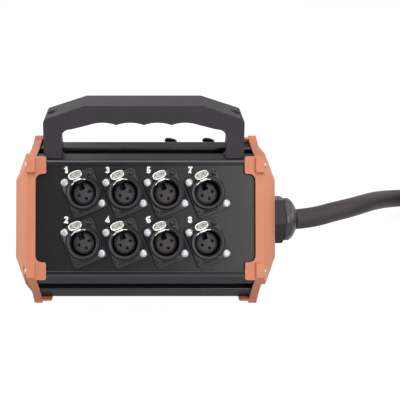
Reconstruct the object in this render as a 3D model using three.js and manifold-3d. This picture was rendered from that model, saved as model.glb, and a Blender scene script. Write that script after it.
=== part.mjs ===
// A stage box with ten panel sockets, a carrying handle and a multicore tail wound into a coil.
// Millimetres, +Z up, the eight-socket side facing -Y, the tail leaving along +X.
// The origin is on the floor, under the middle of the housing.
import * as THREE from 'three';
import { mergeVertices } from 'three/addons/utils/BufferGeometryUtils.js';
import Module from 'manifold-3d';

const wasm = await Module();
wasm.setup();

// General
const degree = Math.PI / 180;
const clearance = 0.3;
const overrun = 6;
const fineSteps = 10;
const roundSides = 20;
const cornerSteps = 2;

// Cross-section of the housing: an equilateral triangle with its three corners cut off
const mainFaceWidth = 84;
const cornerFaceWidth = 36;
const cornerAngle = 60 * degree;
const triangleSide = mainFaceWidth + 2 * cornerFaceWidth;
const mainApothem = triangleSide / (2 * Math.sqrt(3));
const cornerApothem = triangleSide / Math.sqrt(3) - cornerFaceWidth * Math.sin(cornerAngle);
const rearTurn = 30;
const frontTurn = 150;
const baseTurn = 270;
const turnBetweenCorners = 60;
const thirdOfTurn = 120 * degree;

// Corner rails: three equal extrusions with a nut groove and a slot for each panel
const railLength = 166.6;
const lipLength = 3.5;
const lipThickness = 1.0;
const slotMargin = 1.0;
const innerLipLength = 6;
const innerLipThickness = 1.5;
const grooveMouth = 10;
const grooveMouthEdge = 0.8;
const grooveCavity = 16;
const grooveCavityDepth = 5;
const railWeb = 2.5;
const railWall = 2;

// Panels, which slide into the rails
const panelThickness = 2;
const panelRecess = lipThickness + clearance;
const panelOutside = mainApothem - panelRecess;
const slotBack = panelRecess + panelThickness + clearance;
const panelHeight = mainFaceWidth - 2 * slotMargin - 2 * clearance;

// End caps: a moulded skirt with two ears a face, a tab behind each ear, and a domed end
const capLap = 3.7;
const capPlate = 2;
const capWall = 2;
const skirtStart = railLength / 2 - capLap;
const capEnd = railLength / 2 + clearance + capPlate;
const skirtOutside = mainApothem + capWall;
const earHeight = 5.2;
const earOutside = mainApothem + earHeight;
const earOuter = 44;
const earChamfer = 1.2;
const earInner = 33;
const earFootInner = 31.6;
const earFootWall = 2.4;
const valleyWall = 1;
const earFootOutside =
  (cornerApothem + earFootWall - earOuter * Math.sin(cornerAngle)) / Math.cos(cornerAngle);
const capValley = cornerApothem + valleyWall;
const tabLength = 7.7;
const tabOuter = 44.8;
const tabInner = 32;
const tabCorner = 1.6;
const tabFillet = 4.6;
const domeHeight = 11.6;
const domeBaseHalf = 40;
const domeBaseOutside = 45;
const domeBaseValley = 56.5;
const plinthLength = 4.2;
const plinthHalf = 34;
const plinthOutside = 39.3;
const domeTopHalf = 29;
const domeTopOutside = 28;
const domeTopValley = 38.6;
const domeWall = 3;
const domeSideWall = 5;
const domeEnd = capEnd + domeHeight;
const plinthEnd = capEnd + plinthLength;

// Heights above the floor: the box stands on the ears of its base face
const axisHeight = earOutside;
const railTop = axisHeight + cornerApothem;

// Carrying handle
const handleInset = 10.3;
const handleWidth = railLength - 2 * handleInset;
const handleOffset = -1.2;
const handleTopWidth = 84;
const handleHeight = 38.7;
const handleDepth = 30.4;
const handleTopDepthShare = 0.76;
const handleEdge = 1.2;
const legWidth = 13;
const legStraight = 25.5;
const shoulderHeight = 29.3;
const shoulderInset = 3.5;
const shoulderHalf = handleWidth / 2 - shoulderInset;
const shoulderRound = 1.6;
const gripHeight = 26.5;
const scallopPitch = 19.7;
const scallopDepth = 1.7;
const scallopCount = 4;
const archHeight = 12.5;
const archInset = 8;
const archHalf = handleWidth / 2 - legWidth - archInset;
const archRise = 21.6;
const scallopSteps = 3;

// Handle screws and their nuts in the top rail's groove
const handleScrewRadius = 2;
const handleScrewHeadRadius = 3.5;
const handleScrewHeadHeight = 4;
const handleFloor = 8;
const counterboreRadius = 3.9;
const nutThickness = 4;
const nutLength = 12;
const screwSides = 12;

// Panel sockets
const columnPitch = 30;
const rowPitch = 36.2;
const columnCount = 4;
const socketTurn = 22.5 * degree;
const socketHoleRadius = 12;
const flangeWidth = 26;
const flangeHeight = 31;
const flangeCorner = 2.6;
const flangeThickness = 2.6;
const collarRadius = 11.9;
const collarHeight = 3.2;
const collarEdge = 0.7;
const boreRadius = 9.3;
const barrelRadius = 11.6;
const barrelDepth = 20;

// Contact insert of a socket
const insertRadius = 8;
const insertBaseRadius = boreRadius - clearance;
const insertBaseThickness = 3.5;
const insertFaceDepth = 3;
const contactCircle = 4.1;
const contactRadius = 1.35;
const contactDepth = 6;
const contactTurns = [0, 180, 270];
const keyWidth = 4.4;
const keyInner = 2.7;
const keyDepth = 5;
const tailRadius = 0.9;
const tailLength = 4.5;
const contactSteps = 3;

// Release latch of a socket
const latchWidth = 5.5;
const latchThickness = 1.5;
const latchNeck = 9.7;
const latchTabWidth = 10.5;
const latchTabHeight = 7;
const latchTabCentre = 14.9;
const latchTabThickness = 1.5;
const latchRise = 8;
const latchRim = 1;
const latchRimHeight = 0.5;
const latchDepth = 6.5;
const latchHookReach = 1.1;
const latchHookHeight = 1.4;
const latchTravel = 1.4;
const latchSteps = 6;

// Cable gland
const cableDiameter = 16;
const glandThreadRadius = 15.9;
const glandHexFlats = 34.4;
const glandHexLength = 10.5;
const glandHexTurn = 42.5;
const glandBoreRadius = 12.3;
const glandNeckRadius = 14.2;
const glandNeckLength = 4.6;
const domeNutFlats = 33.2;
const domeNutRadius = 17.6;
const domeNutLength = 9.2;
const domeNutTurn = 30;
const domeNutMouthLip = 2.6;
const glandHexEdge = 1.6;
const locknutFlats = 38;
const locknutThickness = 6;
const threadInside = 11;
const sealLength = 9;
const sealWall = 3.6;
const innerCableLength = 34;

// Multicore cable: its route on and above the floor, chosen by hand
const cableSides = 12;
const runSteps = 24;
const tailSteps = 14;
const cableRadius = cableDiameter / 2;
const exitHeading = 10 * degree;
const exitTilt = cableRadius * Math.sin(exitHeading);
const cableExit = domeEnd + clearance + glandHexLength + clearance + domeNutLength + clearance;
const runPoints = [
  [137, 5.2, 50.1],
  [152, 13.4, 49.5],
  [167.5, 24.2, 47.2],
  [182.5, 37.8, 43.4],
  [197, 54, 37.8],
  [212, 70.6, 31.2],
  [228.5, 86.8, 24],
  [247, 101.4, 17.4],
  [268, 113.4, 12.6],
  [289, 121.4, 10.2],
  [309, 125.8, 9.7],
];
const tailPoints = [
  [306, -75.6, 61.1],
  [287.7, -68, 65.3],
  [272, -55.9, 72.3],
  [259.9, -40.2, 80.7],
  [252.3, -21.9, 86.5],
  [249.7, -2.2, 89.5],
  [252.3, 17.5, 90.2],
];
const tailEnd = [259.9, 35.8, 90.4];
const tailHeading = 60 * degree;

// Coil of the cable: four layers of loops, spiralling in and out
const coilX = 342;
const coilY = 24.5;
const coilGap = 0.7;
const coilPitch = cableDiameter + coilGap;
const coilInnerRadius = 67.2;
const coilTurnsPerLayer = 2.125;
const coilLayers = 4;
const coilSteps = 24;
const coilSides = 6;
const coilOuterRadius = coilInnerRadius + coilTurnsPerLayer * coilPitch;
const coilStartTurn = 90 * degree;
const tieThickness = 1.3;
const coilFloor = tieThickness + clearance + cableRadius;
const tieWidth = 16;
const tieTurns = [30, -40];
const tieInnerSlack = 0.8;
const tieCorner = 6;

// Round multipin plug on the far end
const plugRingRadius = 22;
const plugRingLength = 19;
const plugRingGrip = 1;
const plugRingRibs = 16;
const plugShellRadius = 19;
const plugShoulderRadius = 20.6;
const plugShoulderLength = 3;
const plugClampRadius = 13;
const plugClampLength = 14;
const plugBackRadius = 15;
const plugBackLength = 22;
const plugBodyLength = 26;
const plugBoreRadius = 16.4;
const plugInsertDepth = 12;
const plugInsertThickness = 12;
const plugEdge = 1;

// Colours
const black = { color: 0x242225, roughness: 0.45, metalness: 0.3 };
const panelBlack = { color: 0x2c2a2e, roughness: 0.35, metalness: 0.4 };
const orange = { color: 0xd98e72, roughness: 0.55, metalness: 0 };
const handleGrey = { color: 0x474447, roughness: 0.6, metalness: 0 };
const socketBlack = { color: 0x1b1a1c, roughness: 0.4, metalness: 0.2 };
const insertGrey = { color: 0x3a393c, roughness: 0.6, metalness: 0 };
const nickel = { color: 0xcfcabc, roughness: 0.3, metalness: 0.9 };
const steel = { color: 0xb9babd, roughness: 0.35, metalness: 0.9 };
const rubber = { color: 0x4a474a, roughness: 0.7, metalness: 0 };

const xAxis = new THREE.Vector3(1, 0, 0);
const yAxis = new THREE.Vector3(0, 1, 0);
const zAxis = new THREE.Vector3(0, 0, 1);

// The volume inside a merged, indexed geometry, below zero when its faces point in
function signedVolume(positions, indices) {
  const corner = (k) => new THREE.Vector3().fromArray(positions, indices[k] * 3);
  let total = 0;
  for (let k = 0; k < indices.length; k += 3) {
    total += corner(k).dot(corner(k + 1).cross(corner(k + 2)));
  }
  return total;
}

// The facets that still have three different corners once equal points are merged
function openFacets(indices) {
  const kept = [];
  for (let k = 0; k < indices.length; k += 3) {
    const [a, b, c] = indices.slice(k, k + 3);
    if (a !== b && b !== c && c !== a) {
      kept.push(a, b, c);
    }
  }
  return kept;
}

// A closed geometry as a solid that can be joined and cut
function solid(geometry) {
  const bare = geometry.clone();
  bare.deleteAttribute('normal');
  bare.deleteAttribute('uv');
  const merged = mergeVertices(bare);
  const vertProperties = new Float32Array(merged.attributes.position.array);
  const triVerts = new Uint32Array(openFacets(merged.index.array));
  if (signedVolume(vertProperties, triVerts) < 0) {
    triVerts.reverse();
  }
  return new wasm.Manifold(new wasm.Mesh({ numProp: 3, vertProperties, triVerts }));
}

function mesh(name, body, look) {
  const result = body.getMesh();
  const geometry = new THREE.BufferGeometry();
  geometry.setAttribute('position', new THREE.BufferAttribute(result.vertProperties, 3));
  geometry.setIndex(new THREE.BufferAttribute(result.triVerts, 1));
  geometry.computeVertexNormals();
  const made = new THREE.Mesh(geometry, new THREE.MeshStandardMaterial(look));
  made.name = name;
  return made;
}

// A flat outline with holes, raised along +Z from one height to another
function raise(shape, low, high, curveSegments = fineSteps) {
  const geometry = new THREE.ExtrudeGeometry(shape, {
    depth: high - low,
    bevelEnabled: false,
    curveSegments,
  });
  return solid(geometry.translate(0, 0, low));
}

function disc(x, y, radius) {
  const shape = new THREE.Shape();
  shape.absarc(x, y, radius, 0, 2 * Math.PI);
  return shape;
}

function rectangle(left, bottom, right, top) {
  const shape = new THREE.Shape();
  shape.moveTo(left, bottom);
  shape.lineTo(right, bottom);
  shape.lineTo(right, top);
  shape.lineTo(left, top);
  return shape;
}

function roundedRectangle(halfWidth, halfHeight, radius) {
  const shape = new THREE.Shape();
  const x = halfWidth - radius;
  const y = halfHeight - radius;
  shape.absarc(x, y, radius, 0, Math.PI / 2);
  shape.absarc(-x, y, radius, Math.PI / 2, Math.PI);
  shape.absarc(-x, -y, radius, Math.PI, 1.5 * Math.PI);
  shape.absarc(x, -y, radius, 1.5 * Math.PI, 2 * Math.PI);
  return shape;
}

// A regular hexagon from the distance across its flats
function hexagon(flats, turn) {
  const radius = flats / Math.sqrt(3);
  const points = [0, 1, 2, 3, 4, 5].map((k) => {
    const angle = (turn + 60 * k) * degree;
    return new THREE.Vector2(radius * Math.cos(angle), radius * Math.sin(angle));
  });
  return new THREE.Shape(points);
}

// A profile of [radius, height] pairs turned round the Z axis
function turned(profile, sides = roundSides) {
  const points = profile.map(([radius, height]) => new THREE.Vector2(radius, height));
  return solid(new THREE.LatheGeometry(points, sides).rotateX(Math.PI / 2));
}

// Moves a solid that runs along +Z so that it runs along +X from start, its X turning to Y
function alongX(body, start) {
  const basis = new THREE.Matrix4().makeBasis(yAxis, zAxis, xAxis).setPosition(start, 0, 0);
  return body.transform(basis.elements);
}

// A point of the cross-section, in (Y, Z) from its axis, on the face whose normal is at turn
function facePoint(turn, along, out) {
  const cos = Math.cos(turn * degree);
  const sin = Math.sin(turn * degree);
  return new THREE.Vector2(out * cos - along * sin, out * sin + along * cos);
}

// An outline that repeats on the three main faces, from [along, out] pairs on one of them
function threeSided(onFace, valley) {
  return [frontTurn, baseTurn, rearTurn].flatMap((turn) => [
    ...onFace.map(([along, out]) => facePoint(turn, along, out)),
    facePoint(turn + turnBetweenCorners, 0, valley),
  ]);
}

// A section in (Y, Z) run along X
function runSection(points, start, end) {
  return alongX(raise(new THREE.Shape(points), 0, end - start), start);
}

// Sections of equal count, [outline, x] in turn, joined by flat facets along X
function loft(...sections) {
  const [[first]] = sections;
  const [last] = sections[sections.length - 1];
  const count = first.length;
  const positions = sections.flatMap(([outline, x]) =>
    outline.flatMap((point) => [x, point.x, point.y]));
  const indices = [];
  for (let low = 0; low < count * (sections.length - 1); low += count) {
    const high = low + count;
    for (let i = 0; i < count; i += 1) {
      const j = (i + 1) % count;
      indices.push(low + i, low + j, high + j, low + i, high + j, high + i);
    }
  }
  const top = count * (sections.length - 1);
  const lid = THREE.ShapeUtils.triangulateShape(last, []);
  const floor = THREE.ShapeUtils.triangulateShape(first, []);
  lid.forEach(([a, b, c]) => indices.push(top + a, top + b, top + c));
  floor.forEach(([a, b, c]) => indices.push(c, b, a));
  const geometry = new THREE.BufferGeometry();
  geometry.setAttribute('position', new THREE.Float32BufferAttribute(positions, 3));
  geometry.setIndex(indices);
  return solid(geometry);
}

// Corner rail, drawn for the top corner: half an outline, mirrored
function railSection() {
  const down = new THREE.Vector2(Math.cos(cornerAngle), -Math.sin(cornerAngle));
  const inward = new THREE.Vector2(-Math.sin(cornerAngle), -Math.cos(cornerAngle));
  const corner = new THREE.Vector2(cornerFaceWidth / 2, cornerApothem);
  const at = (along, depth) =>
    corner.clone().addScaledVector(down, along).addScaledVector(inward, depth);
  const point = (x, depth) => new THREE.Vector2(x, cornerApothem - depth);
  const innerDepth = slotBack + innerLipThickness;
  const underWeb = (railWeb - innerDepth * Math.cos(cornerAngle)) / Math.sin(cornerAngle);
  const boxHalf = grooveCavity / 2 + railWall;
  const cavityFloor = railWeb + grooveCavityDepth;
  const half = [
    point(boxHalf, cavityFloor + railWall),
    point(boxHalf, railWeb),
    at(underWeb, innerDepth),
    at(innerLipLength, innerDepth),
    at(innerLipLength, slotBack),
    at(slotMargin, slotBack),
    at(slotMargin, lipThickness),
    at(lipLength, lipThickness),
    at(lipLength, 0),
    at(0, 0),
    point(grooveMouth / 2 + grooveMouthEdge, 0),
    point(grooveMouth / 2, grooveMouthEdge),
    point(grooveMouth / 2, railWeb),
    point(grooveCavity / 2, railWeb),
    point(grooveCavity / 2, cavityFloor),
  ];
  const mirrored = half.map((p) => new THREE.Vector2(-p.x, p.y)).reverse();
  return [...half, ...mirrored];
}

function rail(name, turn) {
  const made = mesh(name, runSection(railSection(), -railLength / 2, railLength / 2), black);
  made.rotation.x = turn;
  return made;
}

// Panel in the frame of its face: x along the box, y up the face, z outward
function panel(name, holes) {
  const half = railLength / 2;
  const shape = rectangle(-half, -panelHeight / 2, half, panelHeight / 2);
  holes.forEach(([x, y]) => shape.holes.push(disc(x, y, socketHoleRadius)));
  return mesh(name, raise(shape, panelOutside - panelThickness, panelOutside), panelBlack);
}

// Outline of the tabbed skin that laps over one main face, in (x, along) and thin outward
function capSkin() {
  const shape = new THREE.Shape();
  const tabEnd = skirtStart - tabLength;
  const filletY = tabInner - tabFillet;
  shape.moveTo(capEnd, -tabOuter);
  shape.lineTo(tabEnd + tabCorner, -tabOuter);
  shape.absarc(tabEnd + tabCorner, -tabOuter + tabCorner, tabCorner, 1.5 * Math.PI, Math.PI, true);
  shape.absarc(tabEnd + tabCorner, -tabInner - tabCorner, tabCorner, Math.PI, Math.PI / 2, true);
  shape.absarc(skirtStart - tabFillet, -filletY, tabFillet, 1.5 * Math.PI, 2 * Math.PI);
  shape.absarc(skirtStart - tabFillet, filletY, tabFillet, 0, Math.PI / 2);
  shape.absarc(tabEnd + tabCorner, tabInner + tabCorner, tabCorner, 1.5 * Math.PI, Math.PI, true);
  shape.absarc(tabEnd + tabCorner, tabOuter - tabCorner, tabCorner, Math.PI, Math.PI / 2, true);
  shape.lineTo(capEnd, tabOuter);
  return raise(shape, mainApothem + clearance, skirtOutside, cornerSteps);
}

// The skin on the face whose normal is at turn, from the frame where z is outward
function skinOnFace(turn) {
  const cos = Math.cos(turn * degree);
  const sin = Math.sin(turn * degree);
  const out = new THREE.Vector3(0, cos, sin);
  const up = new THREE.Vector3().crossVectors(out, xAxis);
  return capSkin().transform(new THREE.Matrix4().makeBasis(xAxis, up, out).elements);
}

// End cap, drawn for the +X end
function capSolid() {
  const rim = threeSided(
    [
      [-earOuter, earFootOutside],
      [-earOuter, earOutside - earChamfer],
      [earChamfer - earOuter, earOutside],
      [-earInner, earOutside],
      [-earFootInner, skirtOutside],
      [earFootInner, skirtOutside],
      [earInner, earOutside],
      [earOuter - earChamfer, earOutside],
      [earOuter, earOutside - earChamfer],
      [earOuter, earFootOutside],
    ],
    capValley,
  );
  const domeOutline = (half, outside, valley) =>
    threeSided([[-half, outside], [half, outside]], valley);
  const domeBase = domeOutline(domeBaseHalf, domeBaseOutside, domeBaseValley);
  const plinth = domeOutline(plinthHalf, plinthOutside, domeBaseValley);
  const domeTop = domeOutline(domeTopHalf, domeTopOutside, domeTopValley);
  const hollowBase = domeOutline(
    domeBaseHalf - domeSideWall,
    domeBaseOutside - domeSideWall,
    domeBaseValley - domeSideWall,
  );
  const hollowTop = domeOutline(
    domeTopHalf - domeWall,
    domeTopOutside - domeWall,
    domeTopValley - domeWall,
  );
  const pocketHalf = mainFaceWidth / 2 + clearance / Math.sqrt(3);
  const pocket = [frontTurn, baseTurn, rearTurn].flatMap((turn) => [
    facePoint(turn, -pocketHalf, mainApothem + clearance),
    facePoint(turn, pocketHalf, mainApothem + clearance),
  ]);
  const pocketEnd = railLength / 2 + clearance;
  return runSection(rim, skirtStart, capEnd)
    .add(skinOnFace(frontTurn))
    .add(skinOnFace(baseTurn))
    .add(skinOnFace(rearTurn))
    .add(loft([domeBase, pocketEnd], [domeBase, capEnd], [plinth, plinthEnd], [domeTop, domeEnd]))
    .subtract(runSection(pocket, skirtStart - overrun, pocketEnd))
    .subtract(loft([hollowBase, pocketEnd - clearance], [hollowTop, domeEnd - domeWall]));
}

// Carrying handle: an arch with a stepped grip, drawn in (x, height)
function handleOutline() {
  const shape = new THREE.Shape();
  const half = handleWidth / 2;
  const legInner = half - legWidth;
  const grip = (scallopCount / 2) * scallopPitch;
  const topHalf = handleTopWidth / 2;
  shape.moveTo(-half, 0);
  shape.lineTo(-legInner, 0);
  shape.lineTo(-legInner, archHeight);
  shape.quadraticCurveTo(-legInner, archRise, -archHalf, archRise);
  shape.lineTo(-grip, gripHeight - scallopDepth);
  for (let k = 0; k < scallopCount; k += 1) {
    const start = -grip + k * scallopPitch;
    const middle = start + scallopPitch / 2;
    shape.quadraticCurveTo(middle, gripHeight + scallopDepth, start + scallopPitch,
      gripHeight - scallopDepth);
  }
  shape.lineTo(archHalf, archRise);
  shape.quadraticCurveTo(legInner, archRise, legInner, archHeight);
  shape.lineTo(legInner, 0);
  shape.lineTo(half, 0);
  shape.lineTo(half, legStraight);
  shape.quadraticCurveTo(half, shoulderHeight - shoulderRound / 2, shoulderHalf, shoulderHeight);
  shape.lineTo(topHalf, handleHeight);
  shape.lineTo(-topHalf, handleHeight);
  shape.lineTo(-shoulderHalf, shoulderHeight);
  shape.quadraticCurveTo(-half, shoulderHeight - shoulderRound / 2, -half, legStraight);
  return shape;
}

// The handle narrows in depth from its feet to its top
function handleSolid() {
  const depth = handleDepth - 2 * handleEdge;
  const geometry = new THREE.ExtrudeGeometry(handleOutline(), {
    depth,
    bevelThickness: handleEdge,
    bevelSize: handleEdge,
    bevelOffset: -handleEdge,
    bevelSegments: 2,
    curveSegments: scallopSteps,
  });
  geometry.translate(0, 0, -depth / 2).rotateX(Math.PI / 2);
  const position = geometry.attributes.position;
  for (let k = 0; k < position.count; k += 1) {
    const share = 1 - ((1 - handleTopDepthShare) * position.getZ(k)) / handleHeight;
    position.setY(k, position.getY(k) * share);
  }
  const legX = (handleWidth - legWidth) / 2;
  let body = solid(geometry);
  [-legX, legX].forEach((x) => {
    const hole = raise(disc(x, 0, handleScrewRadius + clearance), -overrun, handleHeight);
    const access = raise(disc(x, 0, counterboreRadius), handleFloor, handleHeight + overrun);
    body = body.subtract(hole).subtract(access);
  });
  return body;
}

function handle() {
  const group = new THREE.Group();
  group.position.set(handleOffset, 0, railTop + clearance);
  group.add(mesh('handle', handleSolid(), handleGrey));
  const nutHalf = grooveCavity / 2 - clearance;
  const nutTop = -railWeb - 2 * clearance;
  const nutLow = nutTop - nutThickness;
  const headLow = handleFloor + clearance;
  const profile = [
    [0, nutLow],
    [handleScrewRadius, nutLow],
    [handleScrewRadius, headLow],
    [handleScrewHeadRadius, headLow],
    [handleScrewHeadRadius, headLow + handleScrewHeadHeight],
    [0, headLow + handleScrewHeadHeight],
  ];
  [['left', -1], ['right', 1]].forEach(([side, sign]) => {
    const x = (sign * (handleWidth - legWidth)) / 2;
    const plate = rectangle(-nutLength / 2, -nutHalf, nutLength / 2, nutHalf);
    plate.holes.push(disc(0, 0, handleScrewRadius + clearance));
    const nut = mesh(`handle_nut_${side}`, raise(plate, nutLow, nutTop), steel);
    const screw = mesh(`handle_screw_${side}`, turned(profile, screwSides), steel);
    nut.position.x = x;
    screw.position.x = x;
    group.add(nut, screw);
  });
  return group;
}

// Socket shell, with z outward from the panel's face
function shellSolid() {
  const flangeTop = clearance + flangeThickness;
  const top = flangeTop + collarHeight;
  const flange = roundedRectangle(flangeWidth / 2, flangeHeight / 2, flangeCorner);
  const body = turned([
    [boreRadius, -barrelDepth],
    [barrelRadius, -barrelDepth],
    [barrelRadius, clearance],
    [collarRadius, clearance],
    [collarRadius, top - collarEdge],
    [collarRadius - collarEdge, top],
    [boreRadius + collarEdge, top],
    [boreRadius, top - collarEdge],
    [boreRadius, -barrelDepth],
  ]);
  flange.holes.push(disc(0, 0, (boreRadius + collarRadius) / 2));
  const slotHalf = latchWidth / 2 + 2 * clearance;
  const slotTop = latchNeck + latchThickness + clearance;
  const slotLow = latchNeck - latchHookReach - 2 * clearance;
  const slotDepth = latchDepth + latchTravel + 2 * clearance;
  const slot = rectangle(-slotHalf, slotLow, slotHalf, slotTop);
  const window = rectangle(-slotHalf, slotLow, slotHalf, slotTop + overrun);
  return body
    .add(raise(flange, clearance, flangeTop, cornerSteps))
    .subtract(raise(slot, -slotDepth, top + overrun))
    .subtract(raise(window, flangeTop, top + overrun))
    .subtract(raise(window, -slotDepth, clearance));
}

// Contact insert, seated in the bore behind the collar
function insertSolid() {
  const face = -insertFaceDepth;
  const low = -barrelDepth;
  const step = low + insertBaseThickness;
  let body = turned([
    [0, low],
    [insertBaseRadius, low],
    [insertBaseRadius, step],
    [insertRadius, step],
    [insertRadius, face],
    [0, face],
  ]);
  const key = rectangle(-keyWidth / 2, keyInner, keyWidth / 2, insertRadius + overrun);
  body = body.subtract(raise(key, face - keyDepth, face + overrun));
  contactTurns.forEach((turn) => {
    const x = contactCircle * Math.cos(turn * degree);
    const y = contactCircle * Math.sin(turn * degree);
    const hole = raise(disc(x, y, contactRadius), face - contactDepth, face + overrun,
      contactSteps);
    const tail = raise(disc(x, y, tailRadius), low - tailLength, step, contactSteps);
    body = body.subtract(hole).add(tail);
  });
  return body;
}

// Release latch: an oval thumb tab on a neck, with a hook that reaches into the bore
function latchSolid() {
  const tab = new THREE.Shape();
  const pocket = new THREE.Shape();
  const centre = latchTabCentre;
  tab.absellipse(0, centre, latchTabWidth / 2, latchTabHeight / 2, 0, 2 * Math.PI);
  pocket.absellipse(0, centre, latchTabWidth / 2 - latchRim, latchTabHeight / 2 - latchRim, 0,
    2 * Math.PI);
  const half = latchWidth / 2;
  const tabLow = latchRise - latchTabThickness;
  const neck = rectangle(-half, latchNeck, half, latchNeck + latchThickness);
  const bend = rectangle(-half, latchNeck, half, centre - latchTabHeight / 2 + latchRim);
  const hook = rectangle(-half, latchNeck - latchHookReach, half, latchNeck + latchThickness);
  return raise(tab, tabLow, latchRise, latchSteps)
    .subtract(raise(pocket, latchRise - latchRimHeight, latchRise + overrun, latchSteps))
    .add(raise(bend, tabLow, latchRise - latchRimHeight))
    .add(raise(neck, -latchDepth, latchRise - latchRimHeight))
    .add(raise(hook, -latchDepth, -latchDepth + latchHookHeight));
}

const shellBody = shellSolid();
const insertBody = insertSolid();
const latchBody = latchSolid();

function socket(number, x, y) {
  const group = new THREE.Group();
  group.position.set(x, y, panelOutside);
  group.rotation.z = socketTurn;
  group.add(
    mesh(`socket_${number}_shell`, shellBody, socketBlack),
    mesh(`socket_${number}_insert`, insertBody, insertGrey),
    mesh(`socket_${number}_latch`, latchBody, nickel),
  );
  return group;
}

// Cable gland through the +X cap, along the box's axis, with what it holds
function gland() {
  const group = new THREE.Group();
  const hexStart = domeEnd + clearance;
  const hexEnd = hexStart + glandHexLength;
  const hexRadius = glandHexFlats / Math.sqrt(3);
  const threadStart = domeEnd - threadInside;
  const bore = (radius, start, end) => alongX(raise(disc(0, 0, radius), 0, end - start), start);
  const hexBlank = turned([
    [0, 0],
    [hexRadius - glandHexEdge, 0],
    [hexRadius, glandHexEdge],
    [hexRadius, glandHexLength - glandHexEdge],
    [hexRadius - glandHexEdge, glandHexLength],
    [0, glandHexLength],
  ]);
  const hex = alongX(
    raise(hexagon(glandHexFlats, glandHexTurn), 0, glandHexLength).intersect(hexBlank),
    hexStart,
  );
  const body = hex
    .add(bore(glandThreadRadius, threadStart, hexStart + clearance))
    .add(bore(glandNeckRadius, hexEnd - clearance, hexEnd + glandNeckLength))
    .subtract(bore(glandBoreRadius, threadStart - overrun, hexEnd + overrun));

  const nutStart = hexEnd + clearance;
  const mouth = cableRadius + clearance;
  const rise = domeNutLength / 4;
  const dome = turned([
    [0, 0],
    [domeNutRadius, 0],
    [domeNutRadius, rise],
    [domeNutRadius - rise / 2, 2 * rise],
    [domeNutRadius - 2 * rise, 3 * rise],
    [mouth + domeNutMouthLip, domeNutLength],
    [0, domeNutLength],
  ]);
  const neckRoom = glandNeckLength + clearance;
  const domeNut = alongX(
    raise(hexagon(domeNutFlats, domeNutTurn), 0, domeNutLength).intersect(dome),
    nutStart,
  )
    .subtract(bore(glandNeckRadius + clearance, nutStart - overrun, nutStart + neckRoom))
    .subtract(bore(mouth, nutStart, nutStart + domeNutLength + overrun));

  const lockEnd = domeEnd - domeWall - clearance;
  const lockStart = lockEnd - locknutThickness;
  const locknut = alongX(raise(hexagon(locknutFlats, 0), 0, locknutThickness), lockStart)
    .subtract(bore(glandThreadRadius + clearance, lockStart - overrun, lockEnd + overrun));

  const sealEnd = hexEnd + glandNeckLength;
  const sealStart = sealEnd - sealLength;
  const seal = bore(mouth + sealWall, sealStart, sealEnd)
    .subtract(bore(mouth, sealStart - overrun, sealEnd + overrun));

  const innerEnd = cableExit - clearance - exitTilt;
  const inner = bore(cableRadius, innerEnd - innerCableLength, innerEnd);
  group.add(
    mesh('gland_body', body, rubber),
    mesh('gland_nut', domeNut, rubber),
    mesh('gland_locknut', locknut, rubber),
    mesh('gland_seal', seal, socketBlack),
    mesh('cable_inner_end', inner, rubber),
  );
  return group;
}

function endCaps() {
  const group = new THREE.Group();
  const body = capSolid();
  const hole = raise(disc(0, 0, glandThreadRadius + clearance), 0, domeHeight + overrun);
  const right = mesh('end_cap_right', body.subtract(alongX(hole, capEnd)), orange);
  const left = mesh('end_cap_left', body, orange);
  left.rotation.z = Math.PI;
  group.add(right, left);
  return group;
}

// Places of the sockets on a main face, in the order of their numbers
function frontPlaces() {
  const places = [];
  for (let column = 0; column < columnCount; column += 1) {
    const x = (column - (columnCount - 1) / 2) * columnPitch;
    places.push([x, rowPitch / 2], [x, -rowPitch / 2]);
  }
  return places;
}

function rearPlaces() {
  return [[-columnPitch / 2, rowPitch / 2], [-1.5 * columnPitch, rowPitch / 2]];
}

function housing() {
  const group = new THREE.Group();
  group.position.z = axisHeight;
  group.add(
    rail('rail_top', 0),
    rail('rail_front_bottom', thirdOfTurn),
    rail('rail_rear_bottom', -thirdOfTurn),
  );
  const front = new THREE.Group();
  front.rotation.x = cornerAngle;
  front.add(panel('front_panel', frontPlaces()));
  frontPlaces().forEach(([x, y], k) => front.add(socket(k + 1, x, y)));
  const rear = new THREE.Group();
  const rearTilt = new THREE.Group();
  rear.rotation.z = Math.PI;
  rearTilt.rotation.x = cornerAngle;
  rearTilt.add(panel('rear_panel', rearPlaces()));
  rearPlaces().forEach(([x, y], k) => rearTilt.add(socket(frontPlaces().length + k + 1, x, y)));
  rear.add(rearTilt);
  const base = new THREE.Group();
  base.rotation.x = Math.PI;
  base.add(panel('base_panel', []));
  group.add(front, rear, base, endCaps(), gland());
  return group;
}

// Centreline of the coil: clockwise from above, in along the first layer and out along the next
function coilCentres() {
  const last = Math.round(coilSteps * coilTurnsPerLayer * coilLayers);
  const smooth = (t) => t * t * (3 - 2 * t);
  const at = (k) => {
    const turns = k / coilSteps;
    const phase = turns / coilTurnsPerLayer;
    const fold = Math.abs((phase % 2) - 1);
    const radius = coilInnerRadius + (coilOuterRadius - coilInnerRadius) * fold;
    let height = coilFloor;
    for (let climb = 1; climb < coilLayers; climb += 1) {
      const along = (turns - climb * coilTurnsPerLayer) * 2 + 0.5;
      height += coilPitch * smooth(THREE.MathUtils.clamp(along, 0, 1));
    }
    const angle = coilStartTurn - 2 * Math.PI * turns;
    return new THREE.Vector3(
      coilX + radius * Math.cos(angle),
      coilY + radius * Math.sin(angle),
      height,
    );
  };
  const centres = [];
  for (let k = 0; k <= last; k += 1) {
    centres.push(at(k));
  }
  const heading = (k) => {
    const angle = coilStartTurn - (2 * Math.PI * k) / coilSteps;
    return new THREE.Vector3(Math.sin(angle), -Math.cos(angle), 0);
  };
  centres.unshift(centres[0].clone().addScaledVector(heading(0), -cableDiameter));
  centres.push(centres[last + 1].clone().addScaledVector(heading(last), cableDiameter));
  return centres;
}

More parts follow.
